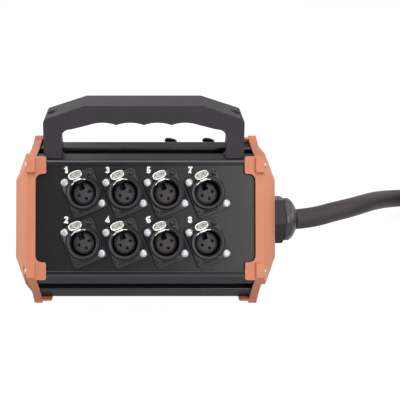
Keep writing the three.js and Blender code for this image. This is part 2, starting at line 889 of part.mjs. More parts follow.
// One closed tube round a line of centres that stays nearly level
function levelTube(centres, radius, sides) {
  const positions = [];
  const indices = [];
  const last = centres.length - 1;
  centres.forEach((centre, k) => {
    const before = centres[Math.max(k - 1, 0)];
    const after = centres[Math.min(k + 1, last)];
    const tangent = after.clone().sub(before).normalize();
    const side = new THREE.Vector3().crossVectors(tangent, zAxis).normalize();
    const up = new THREE.Vector3().crossVectors(side, tangent);
    for (let s = 0; s < sides; s += 1) {
      const angle = (2 * Math.PI * s) / sides;
      const point = centre.clone().addScaledVector(side, radius * Math.cos(angle));
      positions.push(...point.addScaledVector(up, radius * Math.sin(angle)).toArray());
    }
  });
  for (let k = 0; k < last; k += 1) {
    for (let s = 0; s < sides; s += 1) {
      const a = k * sides + s;
      const b = k * sides + ((s + 1) % sides);
      indices.push(a, b, b + sides, a, b + sides, a + sides);
    }
  }
  for (let s = 1; s < sides - 1; s += 1) {
    indices.push(0, s + 1, s);
    indices.push(last * sides, last * sides + s, last * sides + s + 1);
  }
  const geometry = new THREE.BufferGeometry();
  geometry.setAttribute('position', new THREE.Float32BufferAttribute(positions, 3));
  geometry.setIndex(indices);
  return solid(geometry);
}

// Least gap between loops, measured between points of the centreline half a turn apart or more
function leastGap(centres) {
  let least = Infinity;
  const apart = coilSteps / 2;
  for (let i = 0; i < centres.length; i += 1) {
    for (let j = i + apart; j < centres.length; j += 1) {
      const step = centres[Math.min(j + 1, centres.length - 1)];
      const line = new THREE.Line3(centres[j], step);
      const near = line.closestPointToPoint(centres[i], true, new THREE.Vector3());
      least = Math.min(least, near.distanceTo(centres[i]));
    }
  }
  return least - cableDiameter;
}

// A free stretch of the cable through points chosen by hand
function cableStretch(name, points, steps) {
  const path = new THREE.CatmullRomCurve3(points, false, 'centripetal');
  const shape = new THREE.Shape();
  for (let k = 0; k < cableSides; k += 1) {
    const angle = (2 * Math.PI * k) / cableSides;
    const x = cableRadius * Math.cos(angle);
    const y = cableRadius * Math.sin(angle);
    if (k === 0) {
      shape.moveTo(x, y);
    } else {
      shape.lineTo(x, y);
    }
  }
  const geometry = new THREE.ExtrudeGeometry(shape, { steps, extrudePath: path });
  console.log(`${name} is ${path.getLength().toFixed(1)} mm long`);
  return mesh(name, solid(geometry), rubber);
}

// Strap round the bundle of loops, at one angle of the coil
function cableTie(name, turn) {
  const inner = coilInnerRadius - cableRadius - tieInnerSlack;
  const outer = coilOuterRadius + cableRadius + clearance;
  const height = coilLayers * coilPitch - coilGap + 2 * clearance;
  const halfWidth = (outer - inner) / 2;
  const band = roundedRectangle(halfWidth + tieThickness, height / 2 + tieThickness, tieCorner);
  band.holes.push(roundedRectangle(halfWidth, height / 2, tieCorner - tieThickness));
  const body = raise(band, -tieWidth / 2, tieWidth / 2, cornerSteps);
  const made = mesh(name, body, socketBlack);
  made.rotation.x = Math.PI / 2;
  made.position.set((inner + outer) / 2, 0, height / 2 + tieThickness);
  const group = new THREE.Group();
  group.position.set(coilX, coilY, 0);
  group.rotation.z = turn * degree;
  group.add(made);
  return group;
}

// Plug along +X from the cable's end: clamp, shell, contact insert and turning coupling ring
function plug() {
  const group = new THREE.Group();
  const clampEnd = clearance + plugClampLength;
  const shellStart = clampEnd + clearance;
  const bodyStart = shellStart + plugBackLength;
  const bodyEnd = bodyStart + plugBodyLength;
  const shoulderEnd = bodyStart + plugShoulderLength;
  const ringStart = shoulderEnd + clearance;
  const ringEnd = ringStart + plugRingLength;
  const clampBody = alongX(
    turned([
      [0, clearance],
      [plugClampRadius - plugEdge, clearance],
      [plugClampRadius, clearance + plugEdge],
      [plugClampRadius, clampEnd],
      [0, clampEnd],
    ]),
    0,
  );
  const shellBack = alongX(
    turned([
      [0, shellStart],
      [plugBackRadius, shellStart],
      [plugShellRadius - plugEdge, bodyStart],
      [plugShoulderRadius, bodyStart + plugEdge],
      [plugShoulderRadius, shoulderEnd],
      [plugShellRadius, shoulderEnd],
      [plugShellRadius, bodyEnd],
      [plugBoreRadius, bodyEnd],
      [plugBoreRadius, bodyEnd - plugInsertDepth - plugInsertThickness - clearance],
      [0, bodyEnd - plugInsertDepth - plugInsertThickness - clearance],
    ]),
    0,
  );
  const insertEnd = bodyEnd - plugInsertDepth;
  const insertDisc = raise(
    disc(0, 0, plugBoreRadius - clearance),
    insertEnd - plugInsertThickness,
    insertEnd,
  );
  const ribs = [];
  for (let k = 0; k < plugRingRibs * 4; k += 1) {
    const angle = (2 * Math.PI * k) / (plugRingRibs * 4);
    const radius = k % 4 < 2 ? plugRingRadius : plugRingRadius - plugRingGrip;
    ribs.push(new THREE.Vector2(radius * Math.cos(angle), radius * Math.sin(angle)));
  }
  const grip = new THREE.Shape(ribs);
  grip.holes.push(disc(0, 0, plugShellRadius + clearance));
  const ring = alongX(raise(grip, ringStart, ringEnd), 0);
  group.add(
    mesh('plug_clamp', clampBody, socketBlack),
    mesh('plug_shell', shellBack, steel),
    mesh('plug_insert', alongX(insertDisc, 0), insertGrey),
    mesh('plug_ring', ring, steel),
  );
  return group;
}

function cable() {
  const group = new THREE.Group();
  const centres = coilCentres();
  const coilStart = centres[0];
  const coilEnd = centres[centres.length - 1];
  const before = coilStart.clone().sub(centres[1]).normalize();
  const after = coilEnd.clone().sub(centres[centres.length - 2]).normalize();
  const straight = clearance + cableRadius;
  const exit = new THREE.Vector3(cableExit, 0, axisHeight);
  const fixed = (list) => list.map((point) => new THREE.Vector3(...point));
  const far = new THREE.Vector3(...tailEnd);
  const heading = new THREE.Vector3(Math.cos(tailHeading), Math.sin(tailHeading), 0);
  const exitWay = new THREE.Vector3(Math.cos(exitHeading), Math.sin(exitHeading), 0);
  const run = [
    exit,
    exit.clone().addScaledVector(exitWay, cableRadius),
    ...fixed(runPoints),
    coilStart.clone().addScaledVector(before, straight),
    coilStart.clone().addScaledVector(before, clearance),
  ];
  const tail = [
    coilEnd.clone().addScaledVector(after, clearance),
    coilEnd.clone().addScaledVector(after, straight),
    ...fixed(tailPoints),
    far,
    far.clone().addScaledVector(heading, cableDiameter),
  ];
  const loops = mesh('cable_coil', levelTube(centres, cableRadius, coilSides), rubber);
  let coilLength = 0;
  centres.slice(1).forEach((point, k) => {
    coilLength += point.distanceTo(centres[k]);
  });
  console.log(`the coil is ${coilLength.toFixed(1)} mm long`);
  console.log(`least gap between its loops ${leastGap(centres).toFixed(2)} mm`);
  const end = plug();
  end.position.copy(far).addScaledVector(heading, cableDiameter);
  end.rotation.z = tailHeading;
  group.add(
    cableStretch('cable_run', run, runSteps),
    loops,
    cableStretch('cable_tail', tail, tailSteps),
    ...tieTurns.map((turn, k) => cableTie(`cable_tie_${k + 1}`, turn)),
    end,
  );
  return group;
}

const stageBox = new THREE.Group();
const carrying = handle();
stageBox.add(housing(), carrying, cable());

export default stageBox;
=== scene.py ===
"""Looks of the stage box snake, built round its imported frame.

Metres, +Z up, numbered sockets facing -Y.
"""
import math

import bmesh
import bpy
from mathutils import Matrix, Vector, noise

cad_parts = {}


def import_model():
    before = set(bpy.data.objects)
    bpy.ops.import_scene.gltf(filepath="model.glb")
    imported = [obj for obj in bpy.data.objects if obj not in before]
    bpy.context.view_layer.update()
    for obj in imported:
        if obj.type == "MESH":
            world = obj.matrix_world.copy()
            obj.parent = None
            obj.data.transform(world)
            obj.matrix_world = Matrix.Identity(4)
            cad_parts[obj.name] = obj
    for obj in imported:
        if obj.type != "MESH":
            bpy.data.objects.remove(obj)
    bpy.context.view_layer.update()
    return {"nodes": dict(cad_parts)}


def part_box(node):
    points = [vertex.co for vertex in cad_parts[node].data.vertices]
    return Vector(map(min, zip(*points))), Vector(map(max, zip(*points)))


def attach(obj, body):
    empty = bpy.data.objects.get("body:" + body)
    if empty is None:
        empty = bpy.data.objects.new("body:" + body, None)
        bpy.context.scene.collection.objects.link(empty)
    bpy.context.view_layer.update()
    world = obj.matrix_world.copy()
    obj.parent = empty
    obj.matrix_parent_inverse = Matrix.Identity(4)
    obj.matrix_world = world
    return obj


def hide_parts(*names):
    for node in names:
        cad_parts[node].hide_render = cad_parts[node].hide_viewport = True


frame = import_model()

MM = 0.001
ROOT = "housing"

# Cross-section of the housing
MAIN_FACE = 84 * MM
CORNER_FACE = 36 * MM
TRIANGLE_SIDE = MAIN_FACE + 2 * CORNER_FACE
MAIN_APOTHEM = TRIANGLE_SIDE / (2 * math.sqrt(3))
CORNER_APOTHEM = TRIANGLE_SIDE / math.sqrt(3) - CORNER_FACE * math.sin(math.radians(60))
AXIS_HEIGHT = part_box("rail_top")[1].z - CORNER_APOTHEM
PANEL_INSET = 1.3 * MM
PANEL_OUTSIDE = MAIN_APOTHEM - PANEL_INSET
FACE_TILT = math.radians(60)

# Edges: which ones count as sharp, what counts as flat, and the roundings
SMOOTH_ANGLE = math.radians(32)
SHARP_DEGREES = 35
FLAT_ANGLE = math.radians(0.5)
MERGE_DISTANCE = 0.002 * MM
RAIL_ROUND = 1.3 * MM
RAIL_SMALL_SHARE = 0.25
RAIL_LONG_EDGE = 100 * MM
RAIL_REACH_MARGIN = 0.2 * MM
CAP_ROUND = 0.55 * MM
HANDLE_ROUND = 0.9 * MM
TIE_ROUND = 0.4 * MM
CLAMP_ROUND = 0.6 * MM
PLUG_ROUND = 0.5 * MM
RING_ROUND = 0.3 * MM
LOCKNUT_ROUND = 0.3 * MM

# Sockets
COLUMNS = 4
COLUMN_PITCH = 30 * MM
ROW_PITCH = 36.2 * MM
SOCKET_TURN = math.radians(22.5)
FLANGE_WIDTH = 26 * MM
FLANGE_HEIGHT = 31 * MM
FLANGE_CORNER = 2.6 * MM
FLANGE_LOW = 0.05 * MM
FLANGE_TOP = 2.9 * MM
FLANGE_ROUND = 0.5 * MM
FLANGE_BORE_RADIUS = 10.5 * MM
FLANGE_BORE_TOP = 7 * MM
SCREW_X = 9.5 * MM
SCREW_Y = 12 * MM
FLANGE_SCREW_RADIUS = 2.85 * MM
FLANGE_SCREW_HEIGHT = 1.7 * MM
FLANGE_SCREW_RECESS = 1.5 * MM
SCREW_SPIN_DEGREES = 37
SCREW_PAIR_DEGREES = 50
CUT_TOP = 8 * MM
SLOT_HALF = 3.35 * MM
SLOT_NEAR = 7.9 * MM
SLOT_FAR = 11.5 * MM
SLOT_LOW = -8.5 * MM
WINDOW_FAR = 15 * MM
MARK_HALF_LENGTH = 2 * MM
MARK_HALF_WIDTH = 0.2 * MM
MARK_DEPTH = 0.4 * MM
MARK_TOP = 4 * MM
MARK_PLACE = (-9.4 * MM, -10.4 * MM, 0)
MARK_TURN = math.radians(20)
KEY_HALF = 2.1 * MM
KEY_NEAR = 2.7 * MM
KEY_FAR = 9 * MM
KEY_DEPTH = 15 * MM
CONTACT_CIRCLE = 4.1 * MM
CONTACT_DEGREES = (0, 180, 270)

# Turned parts of a socket, as (radius, height) in millimetres
BARREL_DEPTH = 20
COLLAR_TOP = 6.1
COLLAR_PROFILE = [
    (9.3, -BARREL_DEPTH), (11.6, -BARREL_DEPTH), (11.6, 1), (12.9, 1), (12.9, 3.05), (12.7, 3.3),
    (12.2, 3.35), (11.95, 3.1), (11.9, 5.2), (11.7, 5.75), (11.2, COLLAR_TOP), (10.3, COLLAR_TOP),
    (9.7, 5.8), (9.4, 5.2), (9.3, 4.4),
]
BLIND_HOLE_PROFILE = [(2.25, 2.55), (2.25, 2.8), (0, 2.8), (0, 4), (2.65, 4), (2.65, 2.55)]
INSERT_PROFILE = [
    (0, -BARREL_DEPTH), (9, -BARREL_DEPTH), (9, -16.5), (8, -16.5), (8, -4.6), (7.75, -4.2),
    (6.5, -3.1), (6.3, -3), (0, -3),
]
CONTACT_HOLE_PROFILE = [(0, -9), (1.35, -9), (1.35, -3.3), (1.6, -2.9), (1.6, 0), (0, 0)]
CONTACT_PROFILE = [(0.9, -8.9), (1.3, -8.9), (1.3, -4.9), (1.2, -4.7), (1, -4.7), (0.9, -4.9)]
SOLDER_TAIL_PROFILE = [(0, -24.5), (0.9, -24.5), (0.9, -19.9), (0, -19.9)]

# Latch of a socket
LATCH_Y = 13.35 * MM
LATCH_HALF_WIDTH = 5 * MM
LATCH_HALF_HEIGHT = 2.9 * MM
LATCH_SQUARENESS = 3.2
LATCH_CROWN = 0.16
LATCH_TOP = 11.7 * MM
LATCH_LOW = 10.2 * MM
LATCH_POINTS = 64
DISH_DEPTH = 0.55 * MM
DISH_RINGS = 7
HAMMER_HEIGHT = 0.5 * MM
HAMMER_PER_MM = 1.1
# Faces of the latch further than this below the tab's top are darkened: painted shade
UNSHADED_DEPTH = 0.6 * MM
NECK_HALF = 2.75 * MM
NECK_Y = 9.5 * MM
NECK_THICKNESS = 1.5 * MM
NECK_ROUND = 0.12 * MM
GROOVE_DEPTH = 1.1 * MM
BEND_RADIUS = 0.78 * MM
BEND_Y = NECK_Y - 0.02 * MM
BEND_END = 2.2 * MM
HOOK_LOW = -6.5 * MM
HOOK_REACH = 1.1 * MM
HOOK_HEIGHT = 0.9 * MM
HOOK_SLOPE_TOP = 1.4 * MM
FILLET_DROP = 0.4 * MM
FILLET_REACH = 0.2 * MM

# The tab's outside from below, as (inset, rise over LATCH_LOW), then (inset, depth under LATCH_TOP),
# and one half of the wire spring as (x, y, height over SPRING_HEIGHT), all in millimetres
RIM_WIDTH = 0.85
DISH_RING_STEP = 0.28
TAB_UNDERSIDE = [(0.15, 0), (0, 0.2)]
TAB_RIM = [(0, 0.45), (0.12, 0.12), (0.35, 0), (0.65, 0.05), (RIM_WIDTH, 0.5)]
SPRING_WIRE = [(1.8, 9.9, 0), (3.4, 9.1, 0), (4.9, 8.4, 0), (5.3, 8.2, -0.3), (5.5, 8.1, -1.3)]
SPRING_HEIGHT = 6.4 * MM
SPRING_RADIUS = 0.36 * MM

# Printed digits; a stroke's half width and a digit's middle are shares of its height
DIGIT_HEIGHT = 4.7 * MM
DIGIT_X = -12.6 * MM
DIGIT_Y = 17 * MM
DIGIT_LIFT = 0.03 * MM
STROKE_HALF = 0.12
DIGIT_MIDDLE = (0.33, 0.5)
MITRE_LIMIT = 0.5

# Handle and end caps
HANDLE_WIDTH = 146 * MM
HANDLE_HEIGHT = 38.7 * MM
HANDLE_DEPTH = 30.4 * MM
TOP_DEPTH_SHARE = 0.76
TOP_WIDTH = 84 * MM
LEG_WIDTH = 13 * MM
LEG_STRAIGHT = 25.5 * MM
LEG_TAPER = 0.9 * MM
SHOULDER_HEIGHT = 29.3 * MM
SHOULDER_INSET = 3.5 * MM
SHOULDER_ROUND = 1.6 * MM
GRIP_HEIGHT = 26.5 * MM
SCALLOP_PITCH = 19.7 * MM
SCALLOP_DEPTH = 1.7 * MM
SCALLOP_COUNT = 4
ARCH_HEIGHT = 12.5 * MM
ARCH_INSET = 8 * MM
ARCH_RISE = 21.6 * MM
REAR_DRAFT = 2.3 * MM
SHARE_SLACK = 0.001
HEIGHT_SLACK = 0.01 * MM
HANDLE_HOLE_RADIUS = 2.3 * MM
COUNTERBORE_RADIUS = 3.9 * MM
COUNTERBORE_LOW = 8 * MM
CAP_SCREW_ALONG = 38.3 * MM
CAP_SCREW_OUT = 47.1 * MM
CAP_SCREW_RADIUS = 2.35 * MM
CAP_SCREW_HEIGHT = 1.6 * MM
CAP_SCREW_RECESS = 1.3 * MM
CAP_PLATE = 2.3 * MM

# A screw's pan head, as shares of its radius and height, and its cross recess, as shares of its reach
PAN_HEAD = [(1, 0.35), (0.94, 0.62), (0.75, 0.86), (0.45, 0.97)]
RECESS_ARM = 0.24
RECESS_DEPTH = 0.55

# Cable gland; the chamfer's points are (inset, depth), and the dome's (radius in millimetres, height
# in quarters of the nut's length)
GLAND_GAP = 0.3 * MM
GLAND_FLATS = 34.4 * MM
GLAND_DEGREES = 42.5
GLAND_LENGTH = 10.5 * MM
GLAND_CHAMFER = [(1.7 * MM, 0), (0.4 * MM, 0.9 * MM), (0, 1.9 * MM)]
GLAND_ROUND = 0.35 * MM
GLAND_BORE_RADIUS = 12.3 * MM
GLAND_BORE_ENDS = (-12 * MM, 16 * MM)
THREAD_RADIUS = 15.9 * MM
THREAD_ROOT = 15.3 * MM
THREAD_CHAMFER = 0.5 * MM
THREAD_END = -11.3 * MM
THREAD_START = -10.2 * MM
THREAD_PITCH = 1.6 * MM
THREAD_TURNS = 6
GLAND_NECK_RADIUS = 14.2 * MM
GLAND_NECK_END = 15.1 * MM
GLAND_OVERLAP = 0.5 * MM
NUT_FLATS = 33.2 * MM
NUT_DEGREES = 30
NUT_ROUND = 0.4 * MM
NUT_FOOT_RADIUS = 17.2 * MM
NUT_FOOT_CHAMFER = 0.4 * MM
NUT_DOME = [(17.6, 1), (17.2, 1.5), (16.4, 2.1), (15.1, 2.8), (13.3, 3.4), (11.4, 3.85)]
NUT_END_RADIUS = 10.9 * MM
NUT_ROOM_RADIUS = 14.5 * MM
NUT_ROOM_DEPTH = 4.9 * MM
NUT_MOUTH_RADIUS = 8.3 * MM

# Cable
CABLE_DIAMETER = 16 * MM
CABLE_ROUNDNESS = 7
EXIT_GAP = 0.3 * MM
CABLE_EXIT = Vector((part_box("gland_nut")[1].x + EXIT_GAP, 0, AXIS_HEIGHT))
EXIT_HEADING = math.radians(10)
RUN_POINTS = [
    (0.137, 0.0052, 0.0501),
    (0.152, 0.0134, 0.0495),
    (0.1675, 0.0242, 0.0472),
    (0.1825, 0.0378, 0.0434),
    (0.197, 0.054, 0.0378),
    (0.212, 0.0706, 0.0312),
    (0.2285, 0.0868, 0.024),
    (0.247, 0.1014, 0.0174),
    (0.268, 0.1134, 0.0126),
    (0.289, 0.1214, 0.0102),
    (0.309, 0.1258, 0.0097),
]
TAIL_POINTS = [
    (0.306, -0.0756, 0.0611),
    (0.2877, -0.068, 0.0653),
    (0.272, -0.0559, 0.0723),
    (0.2599, -0.0402, 0.0807),
    (0.2523, -0.0219, 0.0865),
    (0.2497, -0.0022, 0.0895),
    (0.2523, 0.0175, 0.0902),
]
TAIL_END = Vector((0.2599, 0.0358, 0.0904))
TAIL_HEADING = math.radians(60)
COIL_X = 0.342
COIL_Y = 0.0245
COIL_PITCH = 0.0167
COIL_INNER = 0.0672
COIL_FLOOR = 0.0096
COIL_LAYERS = 4
TURNS_PER_LAYER = 2.125
STEPS_PER_TURN = 48
CLIMB_TURNS = 0.5
ROUTE_STEPS = 6

# Photograph and camera
PHOTO_SIDE = 400
FOCAL_PIXELS = 657.6
AXIS_PIXEL_X = 145.5
AXIS_PIXEL_Y = 219.2
CAMERA_DISTANCE = 0.522
CAMERA_ELEVATION = math.radians(29)
SENSOR = 36
CLIP_START = 10 * MM

# Stage: the floor's tone for bounced light, then its tone and glow as the white background
FLOOR_HALF = 6
FLOOR_DROP = 0.2 * MM
FLOOR_TONE = 0.45
FLOOR_TONE_SEEN = 0.8
FLOOR_GLOW = 1.12
FLOOR_GLOW_SHARE = 0.82
WORLD_GLOW = 0.17

# Finishes
PATCH_DETAIL = 4
PATCH_RANGE = (0.3, 0.7)
GLOSS_SPREAD = 0.1
GLOSS_LEAST = 0.02
GRAIN_DETAIL = 2
GRAIN_DEPTH = 0.2 * MM
STRAP_PITCH = 0.8 * MM
BANDS_PER_UNIT = 3
WEAVE_TONES = (0.5, 1.6)
WEAVE_RELIEF = 0.6
WEAVE_DEPTH = 0.3 * MM

# Turns a piece drawn along +Z to lie along +X
ALONG_X = Matrix(((0, 0, 1, 0), (1, 0, 0, 0), (0, 1, 0, 0), (0, 0, 0, 1)))

# A direction that no wire runs along
ASKEW = Vector((0.31, 0.17, 0.94))

# The slots of a latch's finishes and of its painted shade, and the slot of a rail's rounded edges
PLAIN, HAMMERED, PAINTED_SHADE = range(3)
RAIL_EDGE_SLOT = 1


def linked(name, data):
    made = bpy.data.objects.new(name, data)
    bpy.context.scene.collection.objects.link(made)
    return made


def camera():
    data = bpy.data.cameras.new("camera")
    data.sensor_width = SENSOR
    data.lens = SENSOR * FOCAL_PIXELS / PHOTO_SIDE
    data.shift_x = (PHOTO_SIDE / 2 - AXIS_PIXEL_X) / PHOTO_SIDE
    data.shift_y = (AXIS_PIXEL_Y - PHOTO_SIDE / 2) / PHOTO_SIDE
    data.clip_start = CLIP_START
    made = linked("camera", data)
    back = Vector((0, -math.cos(CAMERA_ELEVATION), math.sin(CAMERA_ELEVATION)))
    made.location = Vector((0, 0, AXIS_HEIGHT)) + back * CAMERA_DISTANCE
    made.rotation_euler = (math.pi / 2 - CAMERA_ELEVATION, 0, 0)
    bpy.context.scene.camera = made


def nodes_of(name):
    made = bpy.data.materials.new(name)
    made.use_nodes = True
    tree = made.node_tree
    tree.nodes.clear()
    output = tree.nodes.new("ShaderNodeOutputMaterial")
    shader = tree.nodes.new("ShaderNodeBsdfPrincipled")
    tree.links.new(shader.outputs[0], output.inputs["Surface"])
    return made, tree, shader


def srgb(red, green, blue):
    """A colour given as it shows, from 0 to 255, as linear values."""
    def linear(value):
        share = value / 255
        return share / 12.92 if share <= 0.04045 else ((share + 0.055) / 1.055) ** 2.4
    return (linear(red), linear(green), linear(blue), 1.0)


def scaled(colour, factor):
    return tuple(min(1.0, part * factor) for part in colour[:3]) + (1.0,)


def surface(name, colour, roughness, metallic=0.0, mottle=0.1, mottle_scale=60.0,
            stretch=(1, 1, 1), grain=0.1, grain_scale=1500.0, specular=0.5):
    """A procedural finish: a slightly uneven colour, uneven gloss, and fine relief."""
    made, tree, shader = nodes_of(name)
    new, link = tree.nodes.new, tree.links.new
    place = new("ShaderNodeTexCoord")
    mapping = new("ShaderNodeMapping")
    mapping.inputs["Scale"].default_value = stretch
    link(place.outputs["Object"], mapping.inputs["Vector"])
    patches = new("ShaderNodeTexNoise")
    patches.inputs["Scale"].default_value = mottle_scale
    patches.inputs["Detail"].default_value = PATCH_DETAIL
    link(mapping.outputs[0], patches.inputs["Vector"])
    ramp = new("ShaderNodeValToRGB")
    ramp.color_ramp.elements[0].position = PATCH_RANGE[0]
    ramp.color_ramp.elements[1].position = PATCH_RANGE[1]
    ramp.color_ramp.elements[0].color = scaled(colour, 1 - mottle)
    ramp.color_ramp.elements[1].color = scaled(colour, 1 + mottle)
    link(patches.outputs["Fac"], ramp.inputs["Fac"])
    link(ramp.outputs["Color"], shader.inputs["Base Color"])
    gloss = new("ShaderNodeMapRange")
    gloss.inputs["To Min"].default_value = max(GLOSS_LEAST, roughness - GLOSS_SPREAD / 2)
    gloss.inputs["To Max"].default_value = min(1.0, roughness + GLOSS_SPREAD / 2)
    link(patches.outputs["Fac"], gloss.inputs["Value"])
    link(gloss.outputs["Result"], shader.inputs["Roughness"])
    speckle = new("ShaderNodeTexNoise")
    speckle.inputs["Scale"].default_value = grain_scale
    speckle.inputs["Detail"].default_value = GRAIN_DETAIL
    link(mapping.outputs[0], speckle.inputs["Vector"])
    bump = new("ShaderNodeBump")
    bump.inputs["Strength"].default_value = grain
    bump.inputs["Distance"].default_value = GRAIN_DEPTH
    link(speckle.outputs["Fac"], bump.inputs["Height"])
    link(bump.outputs["Normal"], shader.inputs["Normal"])
    shader.inputs["Metallic"].default_value = metallic
    shader.inputs["Specular IOR Level"].default_value = specular
    return made


def woven(name, colour, pitch):
    """Hook and loop strap: crossed fine ribs with a soft sheen."""
    made, tree, shader = nodes_of(name)
    new, link = tree.nodes.new, tree.links.new
    place = new("ShaderNodeTexCoord")
    waves = []
    for direction in ("X", "Z"):
        wave = new("ShaderNodeTexWave")
        wave.bands_direction = direction
        wave.inputs["Scale"].default_value = 1 / pitch / BANDS_PER_UNIT
        link(place.outputs["Object"], wave.inputs["Vector"])
        waves.append(wave)
    both = new("ShaderNodeMath")
    both.operation = "MULTIPLY"
    link(waves[0].outputs["Fac"], both.inputs[0])
    link(waves[1].outputs["Fac"], both.inputs[1])
    ramp = new("ShaderNodeValToRGB")
    ramp.color_ramp.elements[0].color = scaled(colour, WEAVE_TONES[0])
    ramp.color_ramp.elements[1].color = scaled(colour, WEAVE_TONES[1])
    link(both.outputs[0], ramp.inputs["Fac"])
    link(ramp.outputs["Color"], shader.inputs["Base Color"])
    bump = new("ShaderNodeBump")
    bump.inputs["Strength"].default_value = WEAVE_RELIEF
    bump.inputs["Distance"].default_value = WEAVE_DEPTH
    link(both.outputs[0], bump.inputs["Height"])
    link(bump.outputs["Normal"], shader.inputs["Normal"])
    shader.inputs["Roughness"].default_value = 0.85
    shader.inputs["Sheen Weight"].default_value = 0.4
    return made


RAIL = surface("rail_anodised", srgb(29, 27, 31), 0.3, mottle=0.12, stretch=(0.02, 1, 1),
               mottle_scale=900, grain=0.15, grain_scale=2500, specular=0.07)
RAIL_EDGE = surface("rail_edge", srgb(36, 34, 38), 0.28, mottle=0.08, stretch=(0.02, 1, 1),
                    mottle_scale=900, grain=0.1, grain_scale=2500, specular=0.5)
PANEL = surface("panel_black", srgb(20, 19, 21), 0.3, mottle=0.04, mottle_scale=25, grain=0.08,
                grain_scale=3000, specular=0.17)
ORANGE = surface("cap_orange", srgb(189, 121, 93), 0.5, mottle=0.04, mottle_scale=35, grain=0.12,
                 grain_scale=1800, specular=0.15)
HANDLE = surface("handle_grey", srgb(57, 54, 57), 0.55, mottle=0.06, mottle_scale=45, grain=0.3,
                 grain_scale=2600, specular=0.1)
SOCKET = surface("socket_black", srgb(32, 30, 33), 0.38, mottle=0.08, mottle_scale=120, grain=0.12,
                 grain_scale=4000, specular=0.25)
INSERT = surface("insert_grey", srgb(74, 71, 74), 0.6, mottle=0.06, mottle_scale=200, grain=0.15,
                 grain_scale=3000, specular=0.25)
NICKEL = surface("latch_nickel", srgb(196, 196, 192), 0.32, metallic=1.0, mottle=0.06,
                 mottle_scale=300, grain=0.1)
TEXTURED = surface("latch_textured", srgb(132, 133, 129), 0.5, metallic=0.9, mottle=0.5,
                   mottle_scale=420, grain=1.0, grain_scale=1600)
SCREW = surface("screw_zinc", srgb(158, 157, 160), 0.45, metallic=1.0, mottle=0.06,
                mottle_scale=500, grain=0.1)
# Tarnished contacts; the same darker metal on a latch's lower faces is painted shade
CONTACT = surface("contact_tarnish_and_painted_shade", srgb(74, 72, 68), 0.45, metallic=1.0, mottle=0.1,
                  mottle_scale=600, grain=0.1)
GLAND = surface("gland_black", srgb(34, 32, 35), 0.42, mottle=0.06, mottle_scale=80, grain=0.08,
                specular=0.22)
# The dome nut's black, lighter and glossier than the gland's so that it shows lit: painted light
GLAND_NUT_PAINTED_LIGHT = surface("gland_nut_painted_light", srgb(52, 50, 53), 0.38, mottle=0.06, mottle_scale=80,
                    grain=0.08, specular=0.4)
JACKET = surface("cable_jacket", srgb(62, 58, 60), 0.5, mottle=0.06, mottle_scale=70, grain=0.2,
                 grain_scale=1500, specular=0.12)
RUBBER = surface("seal_rubber", srgb(30, 29, 30), 0.8, mottle=0.05)
PLUG = surface("plug_metal", srgb(150, 150, 152), 0.35, metallic=1.0, mottle=0.06,
               mottle_scale=200, grain=0.1)
DIGITS = surface("digit_white", srgb(240, 240, 240), 0.5, mottle=0.02, grain=0.02)
STRAP = woven("tie_strap", srgb(38, 37, 39), STRAP_PITCH)


def painted(made, *materials):
    """Fills the material slots in turn; clearing them would reset the faces' own choice of slot."""
    slots = made.data.materials
    for k, material in enumerate(materials):
        if k < len(slots):
            slots[k] = material
        else:
            slots.append(material)


def smooth(mesh):
    mesh.shade_smooth()
    mesh.set_sharp_from_angle(angle=SMOOTH_ANGLE)


def meshed(name, points, faces):
    mesh = bpy.data.meshes.new(name)
    mesh.from_pydata(points, [], faces)
    form = bmesh.new()
    form.from_mesh(mesh)
    bmesh.ops.recalc_face_normals(form, faces=form.faces)
    form.to_mesh(mesh)
    form.free()
    smooth(mesh)
    return mesh


def lathe(name, profile, segments=72):
    """Turns a closed profile of (radius, height) about the Z axis."""
    points = []
    rings = []
    for radius, height in profile:
        count = segments if radius > 0 else 1
        first = len(points)
        for k in range(count):
            angle = 2 * math.pi * k / segments
            points.append((radius * math.cos(angle), radius * math.sin(angle), height))
        rings.append([first + k % count for k in range(segments)])
    faces = []
    for k, low in enumerate(rings):
        high = rings[(k + 1) % len(rings)]
        for s in range(segments):
            t = (s + 1) % segments
            corners = list(dict.fromkeys((low[s], low[t], high[t], high[s])))
            if len(corners) > 2:
                faces.append(corners)
    return meshed(name, points, faces)


def round_bar(name, radius, low, high, segments=72):
    """A solid bar about the Z axis, from one height to another."""
    return lathe(name, [(0, low), (radius, low), (radius, high), (0, high)], segments)


def prism(name, outline, low, high):
    """A closed outline of (x, y), from one height to another."""
    count = len(outline)
    points = [(x, y, z) for z in (low, high) for x, y in outline]
    faces = [list(range(count)), list(range(count, 2 * count))]
    for k in range(count):
        after = (k + 1) % count
        faces.append([k, after, count + after, count + k])
    return meshed(name, points, faces)


def nested(name, rings, materials):
    """Skins rings of one count of points in turn, and closes both ends.

    Each band takes its slot from materials in turn, and the far end takes the last one.
    """
    count = len(rings[0])
    points = [point for ring in rings for point in ring]
    faces = [list(range(count)), list(range(len(points) - count, len(points)))]
    for k in range(len(rings) - 1):
        for s in range(count):
            t = (s + 1) % count
            low, high = k * count, (k + 1) * count
            faces.append([low + s, low + t, high + t, high + s])
    mesh = meshed(name, points, faces)
    for face in mesh.polygons:
        if face.index > 1:
            face.material_index = materials[(face.index - 2) // count]
    mesh.polygons[1].material_index = materials[-1]
    return mesh


def tube(name, line, radius, sides=10):
    """A round wire along a line of points."""
    rings = []
    for k, centre in enumerate(line):
        tangent = (line[min(k + 1, len(line) - 1)] - line[max(k - 1, 0)]).normalized()
        side = tangent.cross(ASKEW).normalized()
        up = side.cross(tangent)
        turns = [2 * math.pi * s / sides for s in range(sides)]
        rings.append([centre + side * radius * math.cos(a) + up * radius * math.sin(a)
                      for a in turns])
    return nested(name, rings, [0] * (len(rings) - 1))


def arc(x, y, radius, start, end, steps=6):
    turns = [math.radians(start + (end - start) * k / steps) for k in range(steps + 1)]
    return [(x + radius * math.cos(a), y + radius * math.sin(a)) for a in turns]


def rectangle(x0, y0, x1, y1):
    return [(x0, y0), (x1, y0), (x1, y1), (x0, y1)]


